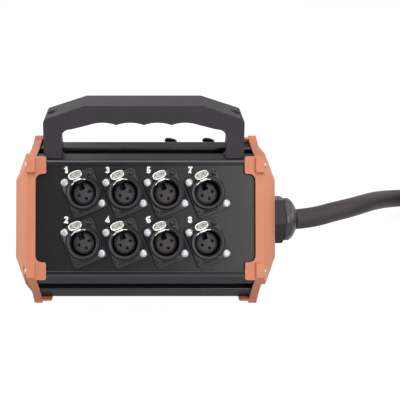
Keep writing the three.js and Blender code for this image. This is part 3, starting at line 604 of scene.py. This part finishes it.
def rounded_rectangle(width, height, corner):
    x = width / 2 - corner
    y = height / 2 - corner
    return [*arc(x, y, corner, 0, 90), *arc(-x, y, corner, 90, 180),
            *arc(-x, -y, corner, 180, 270), *arc(x, -y, corner, 270, 360)]


def softened(made, width, segments=2, degrees=SHARP_DEGREES):
    """Rounds the sharp edges of a piece with modifiers."""
    flat = made.modifiers.new("merge_flat_faces", "DECIMATE")
    flat.decimate_type = "DISSOLVE"
    flat.angle_limit = FLAT_ANGLE
    bevel = made.modifiers.new("round_edges", "BEVEL")
    bevel.limit_method = "ANGLE"
    bevel.angle_limit = math.radians(degrees)
    bevel.width = width
    bevel.segments = segments
    bevel.use_clamp_overlap = True
    even = made.modifiers.new("even_normals", "WEIGHTED_NORMAL")
    even.keep_sharp = True


def shaped(mesh, *cuts, edge=0.0, segments=2, degrees=SHARP_DEGREES):
    """The mesh after its cuts, (operation, mesh) in turn, with its sharp edges rounded."""
    made = linked("blank", mesh)
    tools = []
    for operation, tool_mesh in cuts:
        tools.append(linked("tool", tool_mesh))
        cut = made.modifiers.new("cut", "BOOLEAN")
        cut.operation = operation
        cut.solver = "EXACT"
        cut.object = tools[-1]
    if edge:
        softened(made, edge, segments, degrees)
    graph = bpy.context.evaluated_depsgraph_get()
    result = bpy.data.meshes.new_from_object(made.evaluated_get(graph))
    for scratch in (made, *tools):
        bpy.data.objects.remove(scratch)
    result.name = mesh.name
    if not edge:
        smooth(result)
    return result


def joined(name, *meshes):
    form = bmesh.new()
    for mesh in meshes:
        form.from_mesh(mesh)
    result = bpy.data.meshes.new(name)
    form.to_mesh(result)
    form.free()
    smooth(result)
    return result


def moved(mesh, matrix):
    mesh.transform(matrix)
    return mesh


def dressed(node, material):
    """A CAD node that stays as it is, with a finish."""
    made = frame["nodes"][node]
    painted(made, material)
    smooth(made.data)
    return made


def closed_copy(node):
    """A copy of a CAD node's mesh with its faces joined along their edges."""
    mesh = frame["nodes"][node].data.copy()
    mesh.name = node + "_rounded"
    form = bmesh.new()
    form.from_mesh(mesh)
    bmesh.ops.remove_doubles(form, verts=form.verts, dist=MERGE_DISTANCE)
    form.to_mesh(mesh)
    form.free()
    smooth(mesh)
    return mesh


def placed(name, mesh, matrix, slot, *materials, body=ROOT, instead_of=()):
    """A new piece of the scene on its body."""
    made = linked(name, mesh)
    made.matrix_world = matrix
    if materials:
        painted(made, *materials)
    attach(made, body)
    if instead_of:
        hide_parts(*instead_of)
    return made


def rounded(node, material, slot, width, segments=2, body=ROOT):
    """A copy of a CAD node with its sharp edges rounded, in the node's place."""
    mesh = closed_copy(node)
    made = placed(mesh.name, mesh, Matrix.Identity(4), slot, material, body=body,
                  instead_of=(node,))
    softened(made, width, segments)
    return made


def face_matrix(front):
    turn = Matrix.Identity(4) if front else Matrix.Rotation(math.pi, 4, "Z")
    return Matrix.Translation((0, 0, AXIS_HEIGHT)) @ turn @ Matrix.Rotation(FACE_TILT, 4, "X")


def socket_places():
    """Number, matrix of the panel's face, x and y on it, for each socket."""
    front, rear = face_matrix(True), face_matrix(False)
    places = []
    for column in range(COLUMNS):
        x = (column - (COLUMNS - 1) / 2) * COLUMN_PITCH
        places.append((2 * column + 1, front, x, ROW_PITCH / 2))
        places.append((2 * column + 2, front, x, -ROW_PITCH / 2))
    places.append((2 * COLUMNS + 1, rear, -COLUMN_PITCH / 2, ROW_PITCH / 2))
    places.append((2 * COLUMNS + 2, rear, -1.5 * COLUMN_PITCH, ROW_PITCH / 2))
    return places


# Cable


def catmull(points, steps):
    """One smooth curve through the points, paced by the square root of their distance."""
    chain = [2 * points[0] - points[1], *points, 2 * points[-1] - points[-2]]
    curve = []
    for k in range(1, len(chain) - 2):
        a, b, c, d = chain[k - 1:k + 3]
        t1 = math.sqrt((b - a).length)
        t2 = t1 + math.sqrt((c - b).length)
        t3 = t2 + math.sqrt((d - c).length)
        for step in range(steps):
            t = t1 + (t2 - t1) * step / steps
            ab = a.lerp(b, t / t1)
            bc = b.lerp(c, (t - t1) / (t2 - t1))
            cd = c.lerp(d, (t - t2) / (t3 - t2))
            first = ab.lerp(bc, t / t2)
            second = bc.lerp(cd, (t - t1) / (t3 - t1))
            curve.append(first.lerp(second, (t - t1) / (t2 - t1)))
    curve.append(chain[-2])
    return curve


def coil_line():
    """The coil as one line: its layers wind inwards and outwards by turns, each on the last."""
    last = round(STEPS_PER_TURN * TURNS_PER_LAYER * COIL_LAYERS)
    line = []
    for k in range(last + 1):
        turns = k / STEPS_PER_TURN
        fold = abs((turns / TURNS_PER_LAYER) % 2 - 1)
        radius = COIL_INNER + TURNS_PER_LAYER * COIL_PITCH * fold
        height = COIL_FLOOR
        for climb in range(1, COIL_LAYERS):
            past = (turns - climb * TURNS_PER_LAYER) / CLIMB_TURNS
            share = min(1, max(0, past + 0.5))
            height += COIL_PITCH * share * share * (3 - 2 * share)
        angle = math.pi / 2 - 2 * math.pi * turns
        x = COIL_X + radius * math.cos(angle)
        y = COIL_Y + radius * math.sin(angle)
        line.append(Vector((x, y, height)))
    return line


def cable():
    coil = coil_line()
    straight = CABLE_DIAMETER / 2
    start = Vector((-1, 0, 0))
    leaving = Vector((math.cos(EXIT_HEADING), math.sin(EXIT_HEADING), 0))
    run = [CABLE_EXIT, CABLE_EXIT + leaving * straight, *map(Vector, RUN_POINTS)]
    run += [coil[0] + start * (CABLE_DIAMETER + straight), coil[0] + start * straight]
    end = coil[-1] + start * straight
    tail = [end, coil[-1] + start * (CABLE_DIAMETER + straight), *map(Vector, TAIL_POINTS)]
    heading = Vector((math.cos(TAIL_HEADING), math.sin(TAIL_HEADING), 0))
    tail += [TAIL_END, TAIL_END + heading * CABLE_DIAMETER]
    line = catmull(run, ROUTE_STEPS) + coil + catmull(tail, ROUTE_STEPS)
    curve = bpy.data.curves.new("cable", "CURVE")
    curve.dimensions = "3D"
    curve.bevel_depth = CABLE_DIAMETER / 2
    curve.bevel_resolution = CABLE_ROUNDNESS
    curve.use_fill_caps = True
    spline = curve.splines.new("POLY")
    spline.points.add(len(line) - 1)
    for point, place in zip(spline.points, line):
        point.co = (*place, 1)
    spline.use_smooth = True
    made = linked("cable", curve)
    painted(made, JACKET)
    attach(made, ROOT)
    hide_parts("cable_run", "cable_coil", "cable_tail")


def cable_fittings():
    for node in ("cable_tie_1", "cable_tie_2"):
        rounded(node, STRAP, "tie_strap", TIE_ROUND)
    rounded("plug_clamp", GLAND, "gland_black", CLAMP_ROUND)
    rounded("plug_shell", PLUG, "plug_metal", PLUG_ROUND)
    rounded("plug_ring", PLUG, "plug_metal", RING_ROUND, body="coupling_ring")
    dressed("plug_insert", INSERT)


# Housing


def handle_outline():
    """The handle from the side, as (x, height): the CAD solid's sizes, with the legs tapered."""
    def bend(start, corner, end, steps=8):
        points = []
        for k in range(1, steps + 1):
            s = k / steps
            points.append(tuple((1 - s) ** 2 * a + 2 * s * (1 - s) * b + s * s * c
                                for a, b, c in zip(start, corner, end)))
        return points
    half = HANDLE_WIDTH / 2
    inner = half - LEG_WIDTH
    arch = inner - ARCH_INSET
    shoulder = half - SHOULDER_INSET
    low = GRIP_HEIGHT - SCALLOP_DEPTH
    grip = SCALLOP_COUNT / 2 * SCALLOP_PITCH
    side = [(-arch, ARCH_RISE), (-grip, low)]
    for k in range(SCALLOP_COUNT):
        start = -grip + k * SCALLOP_PITCH
        crest = (start + SCALLOP_PITCH / 2, GRIP_HEIGHT + SCALLOP_DEPTH)
        side += bend((start, low), crest, (start + SCALLOP_PITCH, low))
    side.append((arch, ARCH_RISE))
    side_top = half - LEG_TAPER
    foot = [(inner, 0), (half, 0), (side_top, LEG_STRAIGHT)]
    round_shoulder = bend((side_top, LEG_STRAIGHT),
                          (side_top, SHOULDER_HEIGHT - SHOULDER_ROUND / 2),
                          (shoulder, SHOULDER_HEIGHT))
    arch_end = bend((arch, ARCH_RISE), (inner, ARCH_RISE), (inner, ARCH_HEIGHT))
    right = [*arch_end, *foot, *round_shoulder, (TOP_WIDTH / 2, HANDLE_HEIGHT)]
    left = [(-x, z) for x, z in reversed(right)]
    return side + right + left


def handle_blank():
    """The outline drawn out to its depth, which shrinks towards the top.

    At the rear, the corners of the grip hole are set outwards.
    """
    mesh = prism("handle_moulding", handle_outline(), -HANDLE_DEPTH / 2, HANDLE_DEPTH / 2)
    moved(mesh, Matrix.Rotation(math.pi / 2, 4, "X"))
    leg_inside = HANDLE_WIDTH / 2 - LEG_WIDTH
    for vertex in mesh.vertices:
        place = vertex.co
        place.y *= 1 - (1 - TOP_DEPTH_SHARE) * place.z / HANDLE_HEIGHT
        corner = (abs(place.x) - leg_inside) / ARCH_INSET + 1
        at_corner = 0 < corner <= 1 + SHARE_SLACK and place.z < ARCH_RISE + HEIGHT_SLACK
        if place.y > 0 and at_corner:
            place.x += math.copysign(REAR_DRAFT * corner, place.x)
    return mesh


def handle():
    blank = handle_blank()
    cuts = []
    for side in (-1, 1):
        leg = Matrix.Translation((side * (HANDLE_WIDTH - LEG_WIDTH) / 2, 0, 0))
        for radius, low in ((HANDLE_HOLE_RADIUS, -MM), (COUNTERBORE_RADIUS, COUNTERBORE_LOW)):
            hole = round_bar("hole", radius, low, HANDLE_HEIGHT, segments=40)
            cuts.append(("DIFFERENCE", moved(hole, leg)))
    mesh = shaped(blank, *cuts, edge=HANDLE_ROUND, segments=4, degrees=50)
    low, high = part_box("handle")
    at = Matrix.Translation(((low.x + high.x) / 2, 0, low.z))
    placed("handle_moulding", mesh, at, "handle_grey", HANDLE, instead_of=("handle",))


def screw_mesh(name, radius, height, recess):
    """A pan-head screw with a cross recess."""
    top = [(radius * across, height * up) for across, up in PAN_HEAD]
    head = lathe(name, [(0, 0), (radius, 0), *top, (0, height)], segments=48)
    arm = recess * RECESS_ARM
    low = height - recess * RECESS_DEPTH
    slots = [prism("slot", rectangle(-recess, -arm, recess, arm), low, 2 * height),
             prism("slot", rectangle(-arm, -recess, arm, recess), low, 2 * height)]
    return shaped(head, *(("DIFFERENCE", slot) for slot in slots))


def cap_screws():
    mesh = screw_mesh("cap_screw", CAP_SCREW_RADIUS, CAP_SCREW_HEIGHT, CAP_SCREW_RECESS)
    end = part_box("rail_top")[1].x + CAP_PLATE
    for side, sign in (("left", -1), ("right", 1)):
        outward = Matrix.Rotation(sign * math.pi / 2, 4, "Y")
        for turn in range(3):
            spin = Matrix.Rotation(math.radians(60 + 120 * turn), 4, "X")
            for hand in (-1, 1):
                place = Vector((sign * end, hand * CAP_SCREW_ALONG, CAP_SCREW_OUT))
                matrix = Matrix.Translation((0, 0, AXIS_HEIGHT)) @ spin @ Matrix.Translation(place)
                name = f"cap_screw_{side}_{turn + 1}_{'a' if hand < 0 else 'b'}"
                placed(name, mesh, matrix @ outward, "fastener_steel", SCREW)


def hexagon(flats, turn):
    radius = flats / math.sqrt(3)
    turns = [math.radians(turn) + 2 * math.pi * k / 6 for k in range(6)]
    return [(radius * math.cos(a), radius * math.sin(a)) for a in turns]


def on_axis(start):
    """From a piece drawn along +Z to its place along +X on the housing's axis."""
    return Matrix.Translation((start, 0, AXIS_HEIGHT)) @ ALONG_X


def millimetres(profile):
    return [(radius * MM, height * MM) for radius, height in profile]


def thread_profile():
    """The gland's thread through the cap's wall, as grooves that end just inside the hexagon."""
    profile = [(0, THREAD_END), (THREAD_RADIUS - THREAD_CHAMFER, THREAD_END),
               (THREAD_RADIUS, THREAD_END + THREAD_CHAMFER)]
    for k in range(THREAD_TURNS):
        start = THREAD_START + THREAD_PITCH * k
        profile += [(THREAD_RADIUS, start), (THREAD_ROOT, start + THREAD_PITCH / 4),
                    (THREAD_ROOT, start + THREAD_PITCH / 2),
                    (THREAD_RADIUS, start + THREAD_PITCH * 3 / 4)]
    return [*profile, (THREAD_RADIUS, GLAND_OVERLAP), (0, GLAND_OVERLAP)]


def gland_hexagon():
    corner = GLAND_FLATS / math.sqrt(3)
    low = [(corner - inset, depth) for inset, depth in GLAND_CHAMFER]
    high = [(radius, GLAND_LENGTH - depth) for radius, depth in reversed(low)]
    blank = lathe("blank", [(0, 0), *low, *high, (0, GLAND_LENGTH)])
    thread = lathe("thread", thread_profile())
    neck = round_bar("neck", GLAND_NECK_RADIUS, GLAND_LENGTH - GLAND_OVERLAP, GLAND_NECK_END)
    bore = round_bar("bore", GLAND_BORE_RADIUS, *GLAND_BORE_ENDS)
    body = prism("gland_hexagon", hexagon(GLAND_FLATS, GLAND_DEGREES), 0, GLAND_LENGTH)
    mesh = shaped(body, ("INTERSECT", blank), ("UNION", thread), ("UNION", neck),
                  ("DIFFERENCE", bore), edge=GLAND_ROUND, segments=3)
    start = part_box("end_cap_right")[1].x + GLAND_GAP
    placed("gland_hexagon", mesh, on_axis(start), "gland_black", GLAND, instead_of=("gland_body",))


def gland_dome_nut():
    near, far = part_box("gland_nut")
    length = far.x - near.x
    foot = [(0, 0), (NUT_FOOT_RADIUS, 0), (NUT_FOOT_RADIUS + NUT_FOOT_CHAMFER, NUT_FOOT_CHAMFER)]
    side = [(radius * MM, quarters * length / 4) for radius, quarters in NUT_DOME]
    room = round_bar("room", NUT_ROOM_RADIUS, -MM, NUT_ROOM_DEPTH)
    mouth = round_bar("mouth", NUT_MOUTH_RADIUS, -MM, length + MM)
    body = prism("gland_dome_nut", hexagon(NUT_FLATS, NUT_DEGREES), 0, length)
    dome = lathe("dome", [*foot, *side, (NUT_END_RADIUS, length), (0, length)])
    mesh = shaped(body, ("INTERSECT", dome), ("DIFFERENCE", room), ("DIFFERENCE", mouth),
                  edge=NUT_ROUND, segments=3)
    # The nut's lighter black is painted light
    placed("gland_dome_nut", mesh, on_axis(near.x), "gland_black", GLAND_NUT_PAINTED_LIGHT,
           instead_of=("gland_nut",))


def rail(node):
    """A copy of a rail: its long outer edges get a wide radius, the other sharp ones a small one."""
    mesh = closed_copy(node)
    form = bmesh.new()
    form.from_mesh(mesh)
    bmesh.ops.dissolve_limit(form, angle_limit=FLAT_ANGLE, verts=form.verts, edges=form.edges)
    weights = form.edges.layers.float.new("bevel_weight_edge")
    outermost = math.hypot(MAIN_FACE / 2, MAIN_APOTHEM) - RAIL_REACH_MARGIN
    sharp = math.radians(SHARP_DEGREES)
    for edge in form.edges:
        if len(edge.link_faces) == 2 and edge.calc_face_angle() > sharp:
            reach = min(math.hypot(end.co.y, end.co.z - AXIS_HEIGHT) for end in edge.verts)
            outer = edge.calc_length() > RAIL_LONG_EDGE and reach > outermost
            edge[weights] = 1.0 if outer else RAIL_SMALL_SHARE
    form.to_mesh(mesh)
    form.free()
    smooth(mesh)
    made = placed(mesh.name, mesh, Matrix.Identity(4), "anodised_rail", RAIL, RAIL_EDGE,
                  instead_of=(node,))
    bevel = made.modifiers.new("round_edges", "BEVEL")
    bevel.material = RAIL_EDGE_SLOT
    bevel.limit_method = "WEIGHT"
    bevel.width = RAIL_ROUND
    bevel.segments = 3
    even = made.modifiers.new("even_normals", "WEIGHTED_NORMAL")
    even.keep_sharp = True


def housing():
    for node in ("rail_top", "rail_front_bottom", "rail_rear_bottom"):
        rail(node)
    for node in ("front_panel", "rear_panel", "base_panel"):
        dressed(node, PANEL)
    for node in ("end_cap_left", "end_cap_right"):
        rounded(node, ORANGE, "cap_orange", CAP_ROUND, segments=3)
    handle()
    cap_screws()
    for node in ("handle_screw_left", "handle_screw_right", "handle_nut_left", "handle_nut_right"):
        dressed(node, SCREW)
    gland_hexagon()
    gland_dome_nut()
    rounded("gland_locknut", GLAND, "gland_black", LOCKNUT_ROUND)
    dressed("gland_seal", RUBBER)
    dressed("cable_inner_end", JACKET)


# Sockets, drawn in each one's own frame: +Z out of the panel, +Y towards its latch


def shell_mesh():
    """The flange and its collar, with the latch's slot, a blind third screw hole and a mark."""
    plate = prism("socket_flange", rounded_rectangle(FLANGE_WIDTH, FLANGE_HEIGHT, FLANGE_CORNER),
                  FLANGE_LOW, FLANGE_TOP)
    flange = shaped(plate, edge=FLANGE_ROUND, segments=3)
    collar = lathe("socket_shell", millimetres(COLLAR_PROFILE), segments=96)
    bore = round_bar("bore", FLANGE_BORE_RADIUS, -MM, FLANGE_BORE_TOP)
    slot = prism("latch_slot", rectangle(-SLOT_HALF, SLOT_NEAR, SLOT_HALF, SLOT_FAR),
                 SLOT_LOW, CUT_TOP)
    window = prism("latch_window", rectangle(-SLOT_HALF, SLOT_NEAR, SLOT_HALF, WINDOW_FAR),
                   FLANGE_TOP, CUT_TOP)
    blind_hole = lathe("blank_hole", BLIND_HOLE_PROFILE, segments=32)
    moved(blind_hole, Matrix.Diagonal((MM, MM, MM, 1)))
    moved(blind_hole, Matrix.Translation((SCREW_X, SCREW_Y, 0)))
    mark = prism("mark", rectangle(-MARK_HALF_LENGTH, -MARK_HALF_WIDTH, MARK_HALF_LENGTH,
                                   MARK_HALF_WIDTH), FLANGE_TOP - MARK_DEPTH, MARK_TOP)
    moved(mark, Matrix.Translation(MARK_PLACE) @ Matrix.Rotation(MARK_TURN, 4, "Z"))
    return shaped(flange, ("DIFFERENCE", bore), ("UNION", collar), ("DIFFERENCE", slot),
                  ("DIFFERENCE", window), ("DIFFERENCE", blind_hole), ("DIFFERENCE", mark))


def contact_places():
    turns = [math.radians(turn) for turn in CONTACT_DEGREES]
    return [Matrix.Translation((CONTACT_CIRCLE * math.cos(a), CONTACT_CIRCLE * math.sin(a), 0))
            for a in turns]


def insert_mesh():
    """The core with its key slot and contact holes, and the solder tails behind it."""
    core = lathe("socket_insert", millimetres(INSERT_PROFILE))
    key = prism("key", rectangle(-KEY_HALF, KEY_NEAR, KEY_HALF, KEY_FAR), -KEY_DEPTH, 0)
    cuts = [("DIFFERENCE", key)]
    tails = []
    for at in contact_places():
        hole = lathe("hole", millimetres(CONTACT_HOLE_PROFILE), segments=28)
        cuts.append(("DIFFERENCE", moved(hole, at)))
        tail = lathe("tail", millimetres(SOLDER_TAIL_PROFILE), segments=20)
        tails.append(moved(tail, at))
    return joined("socket_insert", shaped(core, *cuts), *tails)


def contacts_mesh():
    tubes = []
    for at in contact_places():
        tubes.append(moved(lathe("contact", millimetres(CONTACT_PROFILE), segments=28), at))
    return joined("socket_contacts", *tubes)


def tab_ring(inset, height, hammered=0.0):
    """A closed line round the thumb tab, a squarish oval, so far inside its outline."""
    power = LATCH_SQUARENESS
    ring = []
    for k in range(LATCH_POINTS):
        angle = 2 * math.pi * k / LATCH_POINTS
        c, s = math.cos(angle), math.sin(angle)
        reach = (abs(c) ** power + abs(s) ** power) ** (-1 / power)
        x = c * reach * (LATCH_HALF_WIDTH - inset)
        y = s * reach * (LATCH_HALF_HEIGHT - inset)
        crown = 1 - LATCH_CROWN * (x / LATCH_HALF_WIDTH) ** 2
        bump = noise.noise(Vector((x, y, 0)) / MM * HAMMER_PER_MM) * hammered
        ring.append(Vector((x, LATCH_Y + y * crown, height + bump)))
    return ring


def tab_mesh():
    """The thumb tab: a plain rim round a dished, hammered middle."""
    rings = [tab_ring(inset * MM, LATCH_LOW + rise * MM) for inset, rise in TAB_UNDERSIDE]
    rings += [tab_ring(inset * MM, LATCH_TOP - depth * MM) for inset, depth in TAB_RIM]
    plain = len(rings) - 1
    for k in range(1, DISH_RINGS + 1):
        inset = (RIM_WIDTH + k * DISH_RING_STEP) * MM
        rings.append(tab_ring(inset, LATCH_TOP - DISH_DEPTH, HAMMER_HEIGHT))
    slots = [PLAIN] * plain + [HAMMERED] * (len(rings) - plain)
    return nested("socket_latch", rings, slots)


def neck_mesh():
    """The neck from the side, as (y, z): bent down from the tab, with a hook at its end."""
    tab_near = LATCH_Y - LATCH_HALF_HEIGHT + MM
    groove = LATCH_TOP - GROOVE_DEPTH
    bend = arc(BEND_Y, LATCH_TOP - BEND_RADIUS, BEND_RADIUS, 0, 180, 10)
    hook = NECK_Y - HOOK_REACH
    inner = NECK_Y + NECK_THICKNESS
    side = [(tab_near, LATCH_LOW), (tab_near, groove), (BEND_Y + BEND_RADIUS, groove), *bend,
            (NECK_Y, LATCH_TOP - BEND_END), (NECK_Y, HOOK_LOW + HOOK_SLOPE_TOP),
            (hook, HOOK_LOW + HOOK_HEIGHT), (hook, HOOK_LOW), (inner, HOOK_LOW),
            (inner, LATCH_LOW - FILLET_DROP), (inner + FILLET_REACH, LATCH_LOW)]
    neck = moved(prism("neck", side, -NECK_HALF, NECK_HALF), ALONG_X)
    return shaped(neck, edge=NECK_ROUND)


def latch_mesh():
    """The tab and its neck; plain faces well below the tab's top take a darker metal, as painted
    shade.
    """
    made = joined("socket_latch", tab_mesh(), neck_mesh())
    for face in made.polygons:
        if face.material_index == PLAIN and face.center.z < LATCH_TOP - UNSHADED_DEPTH:
            face.material_index = PAINTED_SHADE
    return made


def spring_mesh():
    """The wire spring: from the latch's neck along the collar's lip, on either side."""
    wires = []
    for hand in (-1, 1):
        line = [Vector((hand * x, y, z)) * MM + Vector((0, 0, SPRING_HEIGHT))
                for x, y, z in SPRING_WIRE]
        wires.append(tube("spring", catmull(line, 4), SPRING_RADIUS, sides=12))
    return joined("socket_spring", *wires)


def digit_strokes(number):
    """The middle lines of a digit's strokes, one unit high."""
    if number == 1:
        return [[(0.02, 0.68), (0.2, 0.76), (0.36, 0.93)], [(0.36, 1), (0.36, 0)]]
    if number == 2:
        return [[*arc(0.31, 0.68, 0.21, 175, -35, 14), (0.12, 0.1), (0.62, 0.1)]]
    if number == 3:
        return [arc(0.3, 0.71, 0.19, 165, -95, 14), arc(0.3, 0.31, 0.21, 95, -165, 14),
                [(0.2, 0.53), (0.34, 0.53)]]
    if number == 4:
        return [[(0.46, 0), (0.46, 0.93), (0.09, 0.32), (0.09, 0.27), (0.66, 0.27)]]
    if number == 5:
        return [[(0.56, 0.9), (0.2, 0.9), (0.13, 0.46), *arc(0.31, 0.32, 0.22, 120, -160, 14)]]
    if number == 6:
        return [arc(0.32, 0.31, 0.21, 0, 360, 20),
                [(0.11, 0.31), *arc(0.36, 0.53, 0.38, 180, 60, 10)]]
    if number == 7:
        return [[(0.06, 0.9), (0.58, 0.9), (0.4, 0.6), (0.28, 0)]]
    return [arc(0.32, 0.71, 0.18, 0, 360, 20), arc(0.32, 0.3, 0.21, 0, 360, 20)]


def digit_mesh(number):
    """A printed digit, drawn as broad strokes with mitred corners."""
    points = []
    faces = []
    for stroke in digit_strokes(number):
        line = [Vector((x - DIGIT_MIDDLE[0], y - DIGIT_MIDDLE[1])) for x, y in stroke]
        closed = (line[0] - line[-1]).length < 0.001
        for k, centre in enumerate(line):
            before = line[k - 1] if k else (line[-2] if closed else centre)
            after = line[k + 1] if k + 1 < len(line) else (line[1] if closed else centre)
            into = (centre - before).normalized() or (after - centre).normalized()
            out = (after - centre).normalized() or into
            across = (into + out).normalized()
            across = Vector((-across.y, across.x))
            share = max(MITRE_LIMIT, abs(across.dot(Vector((-out.y, out.x)))))
            for side in (-1, 1):
                place = (centre + across * side * STROKE_HALF / share) * DIGIT_HEIGHT
                points.append((place.x, place.y, 0))
            if k:
                last = len(points)
                faces.append((last - 4, last - 3, last - 1, last - 2))
    mesh = bpy.data.meshes.new(f"digit_{number}")
    mesh.from_pydata(points, [], faces)
    return mesh


def sockets():
    shell, insert, contacts = shell_mesh(), insert_mesh(), contacts_mesh()
    latch, spring = latch_mesh(), spring_mesh()
    screw = screw_mesh("flange_screw", FLANGE_SCREW_RADIUS, FLANGE_SCREW_HEIGHT,
                       FLANGE_SCREW_RECESS)
    turn = Matrix.Rotation(SOCKET_TURN, 4, "Z")
    for number, face, x, y in socket_places():
        at = face @ Matrix.Translation((x, y, PANEL_OUTSIDE)) @ turn
        name = f"socket_{number}"
        body = f"latch_{number}"
        placed(name + "_flange", shell, at, "socket_black", SOCKET, instead_of=(name + "_shell",))
        placed(name + "_core", insert, at, "insert_grey", INSERT, instead_of=(name + "_insert",))
        placed(name + "_contacts", contacts, at, "latch_nickel", CONTACT)
        # The latch's third slot darkens its lower faces: painted shade
        placed(name + "_tab", latch, at, "latch_nickel", NICKEL, TEXTURED, CONTACT, body=body,
               instead_of=(name + "_latch",))
        placed(name + "_spring", spring, at, "latch_nickel", NICKEL)
        for k, sign in enumerate((-1, 1)):
            degrees = SCREW_SPIN_DEGREES * number + SCREW_PAIR_DEGREES * k
            spin = Matrix.Rotation(math.radians(degrees), 4, "Z")
            seat = Matrix.Translation((sign * SCREW_X, -sign * SCREW_Y, FLANGE_TOP))
            placed(f"{name}_screw_{k + 1}", screw, at @ seat @ spin, "fastener_steel", SCREW)
        if number <= 2 * COLUMNS:
            spot = Matrix.Translation((x + DIGIT_X, y + DIGIT_Y, PANEL_OUTSIDE + DIGIT_LIFT))
            placed(f"digit_{number}", digit_mesh(number), face @ spot, "panel_black", DIGITS)


def shows_background(tree):
    """1 on the rays that see the white background: the camera's, and those mirrored or let through."""
    path = tree.nodes.new("ShaderNodeLightPath")
    seen = path.outputs["Is Camera Ray"]
    for ray in ("Is Glossy Ray", "Is Transmission Ray"):
        either = tree.nodes.new("ShaderNodeMath")
        either.operation = "MAXIMUM"
        tree.links.new(seen, either.inputs[0])
        tree.links.new(path.outputs[ray], either.inputs[1])
        seen = either.outputs[0]
    return seen


def stage():
    mesh = bpy.data.meshes.new("floor")
    half = FLOOR_HALF
    mesh.from_pydata([(-half, -half, 0), (half, -half, 0), (half, half, 0), (-half, half, 0)], [],
                     [(0, 1, 2, 3)])
    floor = linked("floor", mesh)
    floor.location.z = -FLOOR_DROP
    made = bpy.data.materials.new("floor_white")
    made.use_nodes = True
    tree = made.node_tree
    tree.nodes.clear()
    new, link = tree.nodes.new, tree.links.new
    seen = shows_background(tree)
    share = new("ShaderNodeMath")
    share.operation = "MULTIPLY"
    share.inputs[1].default_value = FLOOR_GLOW_SHARE
    link(seen, share.inputs[0])
    glow = new("ShaderNodeEmission")
    glow.inputs["Strength"].default_value = FLOOR_GLOW
    tone = new("ShaderNodeMapRange")
    tone.inputs["To Min"].default_value = FLOOR_TONE
    tone.inputs["To Max"].default_value = FLOOR_TONE_SEEN
    link(seen, tone.inputs["Value"])
    matt = new("ShaderNodeBsdfDiffuse")
    link(tone.outputs["Result"], matt.inputs["Color"])
    mix = new("ShaderNodeMixShader")
    link(share.outputs[0], mix.inputs["Fac"])
    link(matt.outputs[0], mix.inputs[1])
    link(glow.outputs[0], mix.inputs[2])
    output = new("ShaderNodeOutputMaterial")
    link(mix.outputs[0], output.inputs["Surface"])
    painted(floor, made)


def world():
    made = bpy.data.worlds.new("studio")
    made.use_nodes = True
    tree = made.node_tree
    tree.nodes.clear()
    new, link = tree.nodes.new, tree.links.new
    dim = new("ShaderNodeBackground")
    dim.inputs["Strength"].default_value = WORLD_GLOW
    white = new("ShaderNodeBackground")
    white.inputs["Color"].default_value = (1, 1, 1, 1)
    mix = new("ShaderNodeMixShader")
    link(shows_background(tree), mix.inputs["Fac"])
    link(dim.outputs[0], mix.inputs[1])
    link(white.outputs[0], mix.inputs[2])
    output = new("ShaderNodeOutputWorld")
    link(mix.outputs[0], output.inputs["Surface"])
    bpy.context.scene.world = made


def lamp(name, place, target, width, height, power):
    data = bpy.data.lights.new(name, "AREA")
    data.shape = "RECTANGLE"
    data.size = width
    data.size_y = height
    data.energy = power
    made = linked(name, data)
    made.location = place
    made.rotation_euler = (Vector(target) - Vector(place)).to_track_quat("-Z", "Y").to_euler()


def lamps():
    """Softboxes, in metres and watts."""
    lamp("overhead_softbox", place=(-0.12, -0.15, 1.25), target=(0, 0, 0.05),
         width=1.4, height=1.1, power=12.5)
    lamp("right_softbox", place=(0.42, -1.1, 0.68), target=(0.06, 0, 0.05),
         width=0.45, height=0.8, power=10.5)
    lamp("left_softbox", place=(-1.2, -0.08, 0.45), target=(0, 0, 0.05),
         width=0.8, height=0.8, power=12)
    lamp("right_side_softbox", place=(1.2, 0, 0.3), target=(0, 0, 0.05),
         width=0.8, height=0.8, power=11)
    lamp("back_softbox", place=(-0.5, 1.1, 0.8), target=(0, 0, 0.1),
         width=0.8, height=0.6, power=2)


camera()
world()
lamps()
stage()
housing()
sockets()
cable_fittings()
cable()

bpy.context.scene.view_settings.view_transform = "Standard"
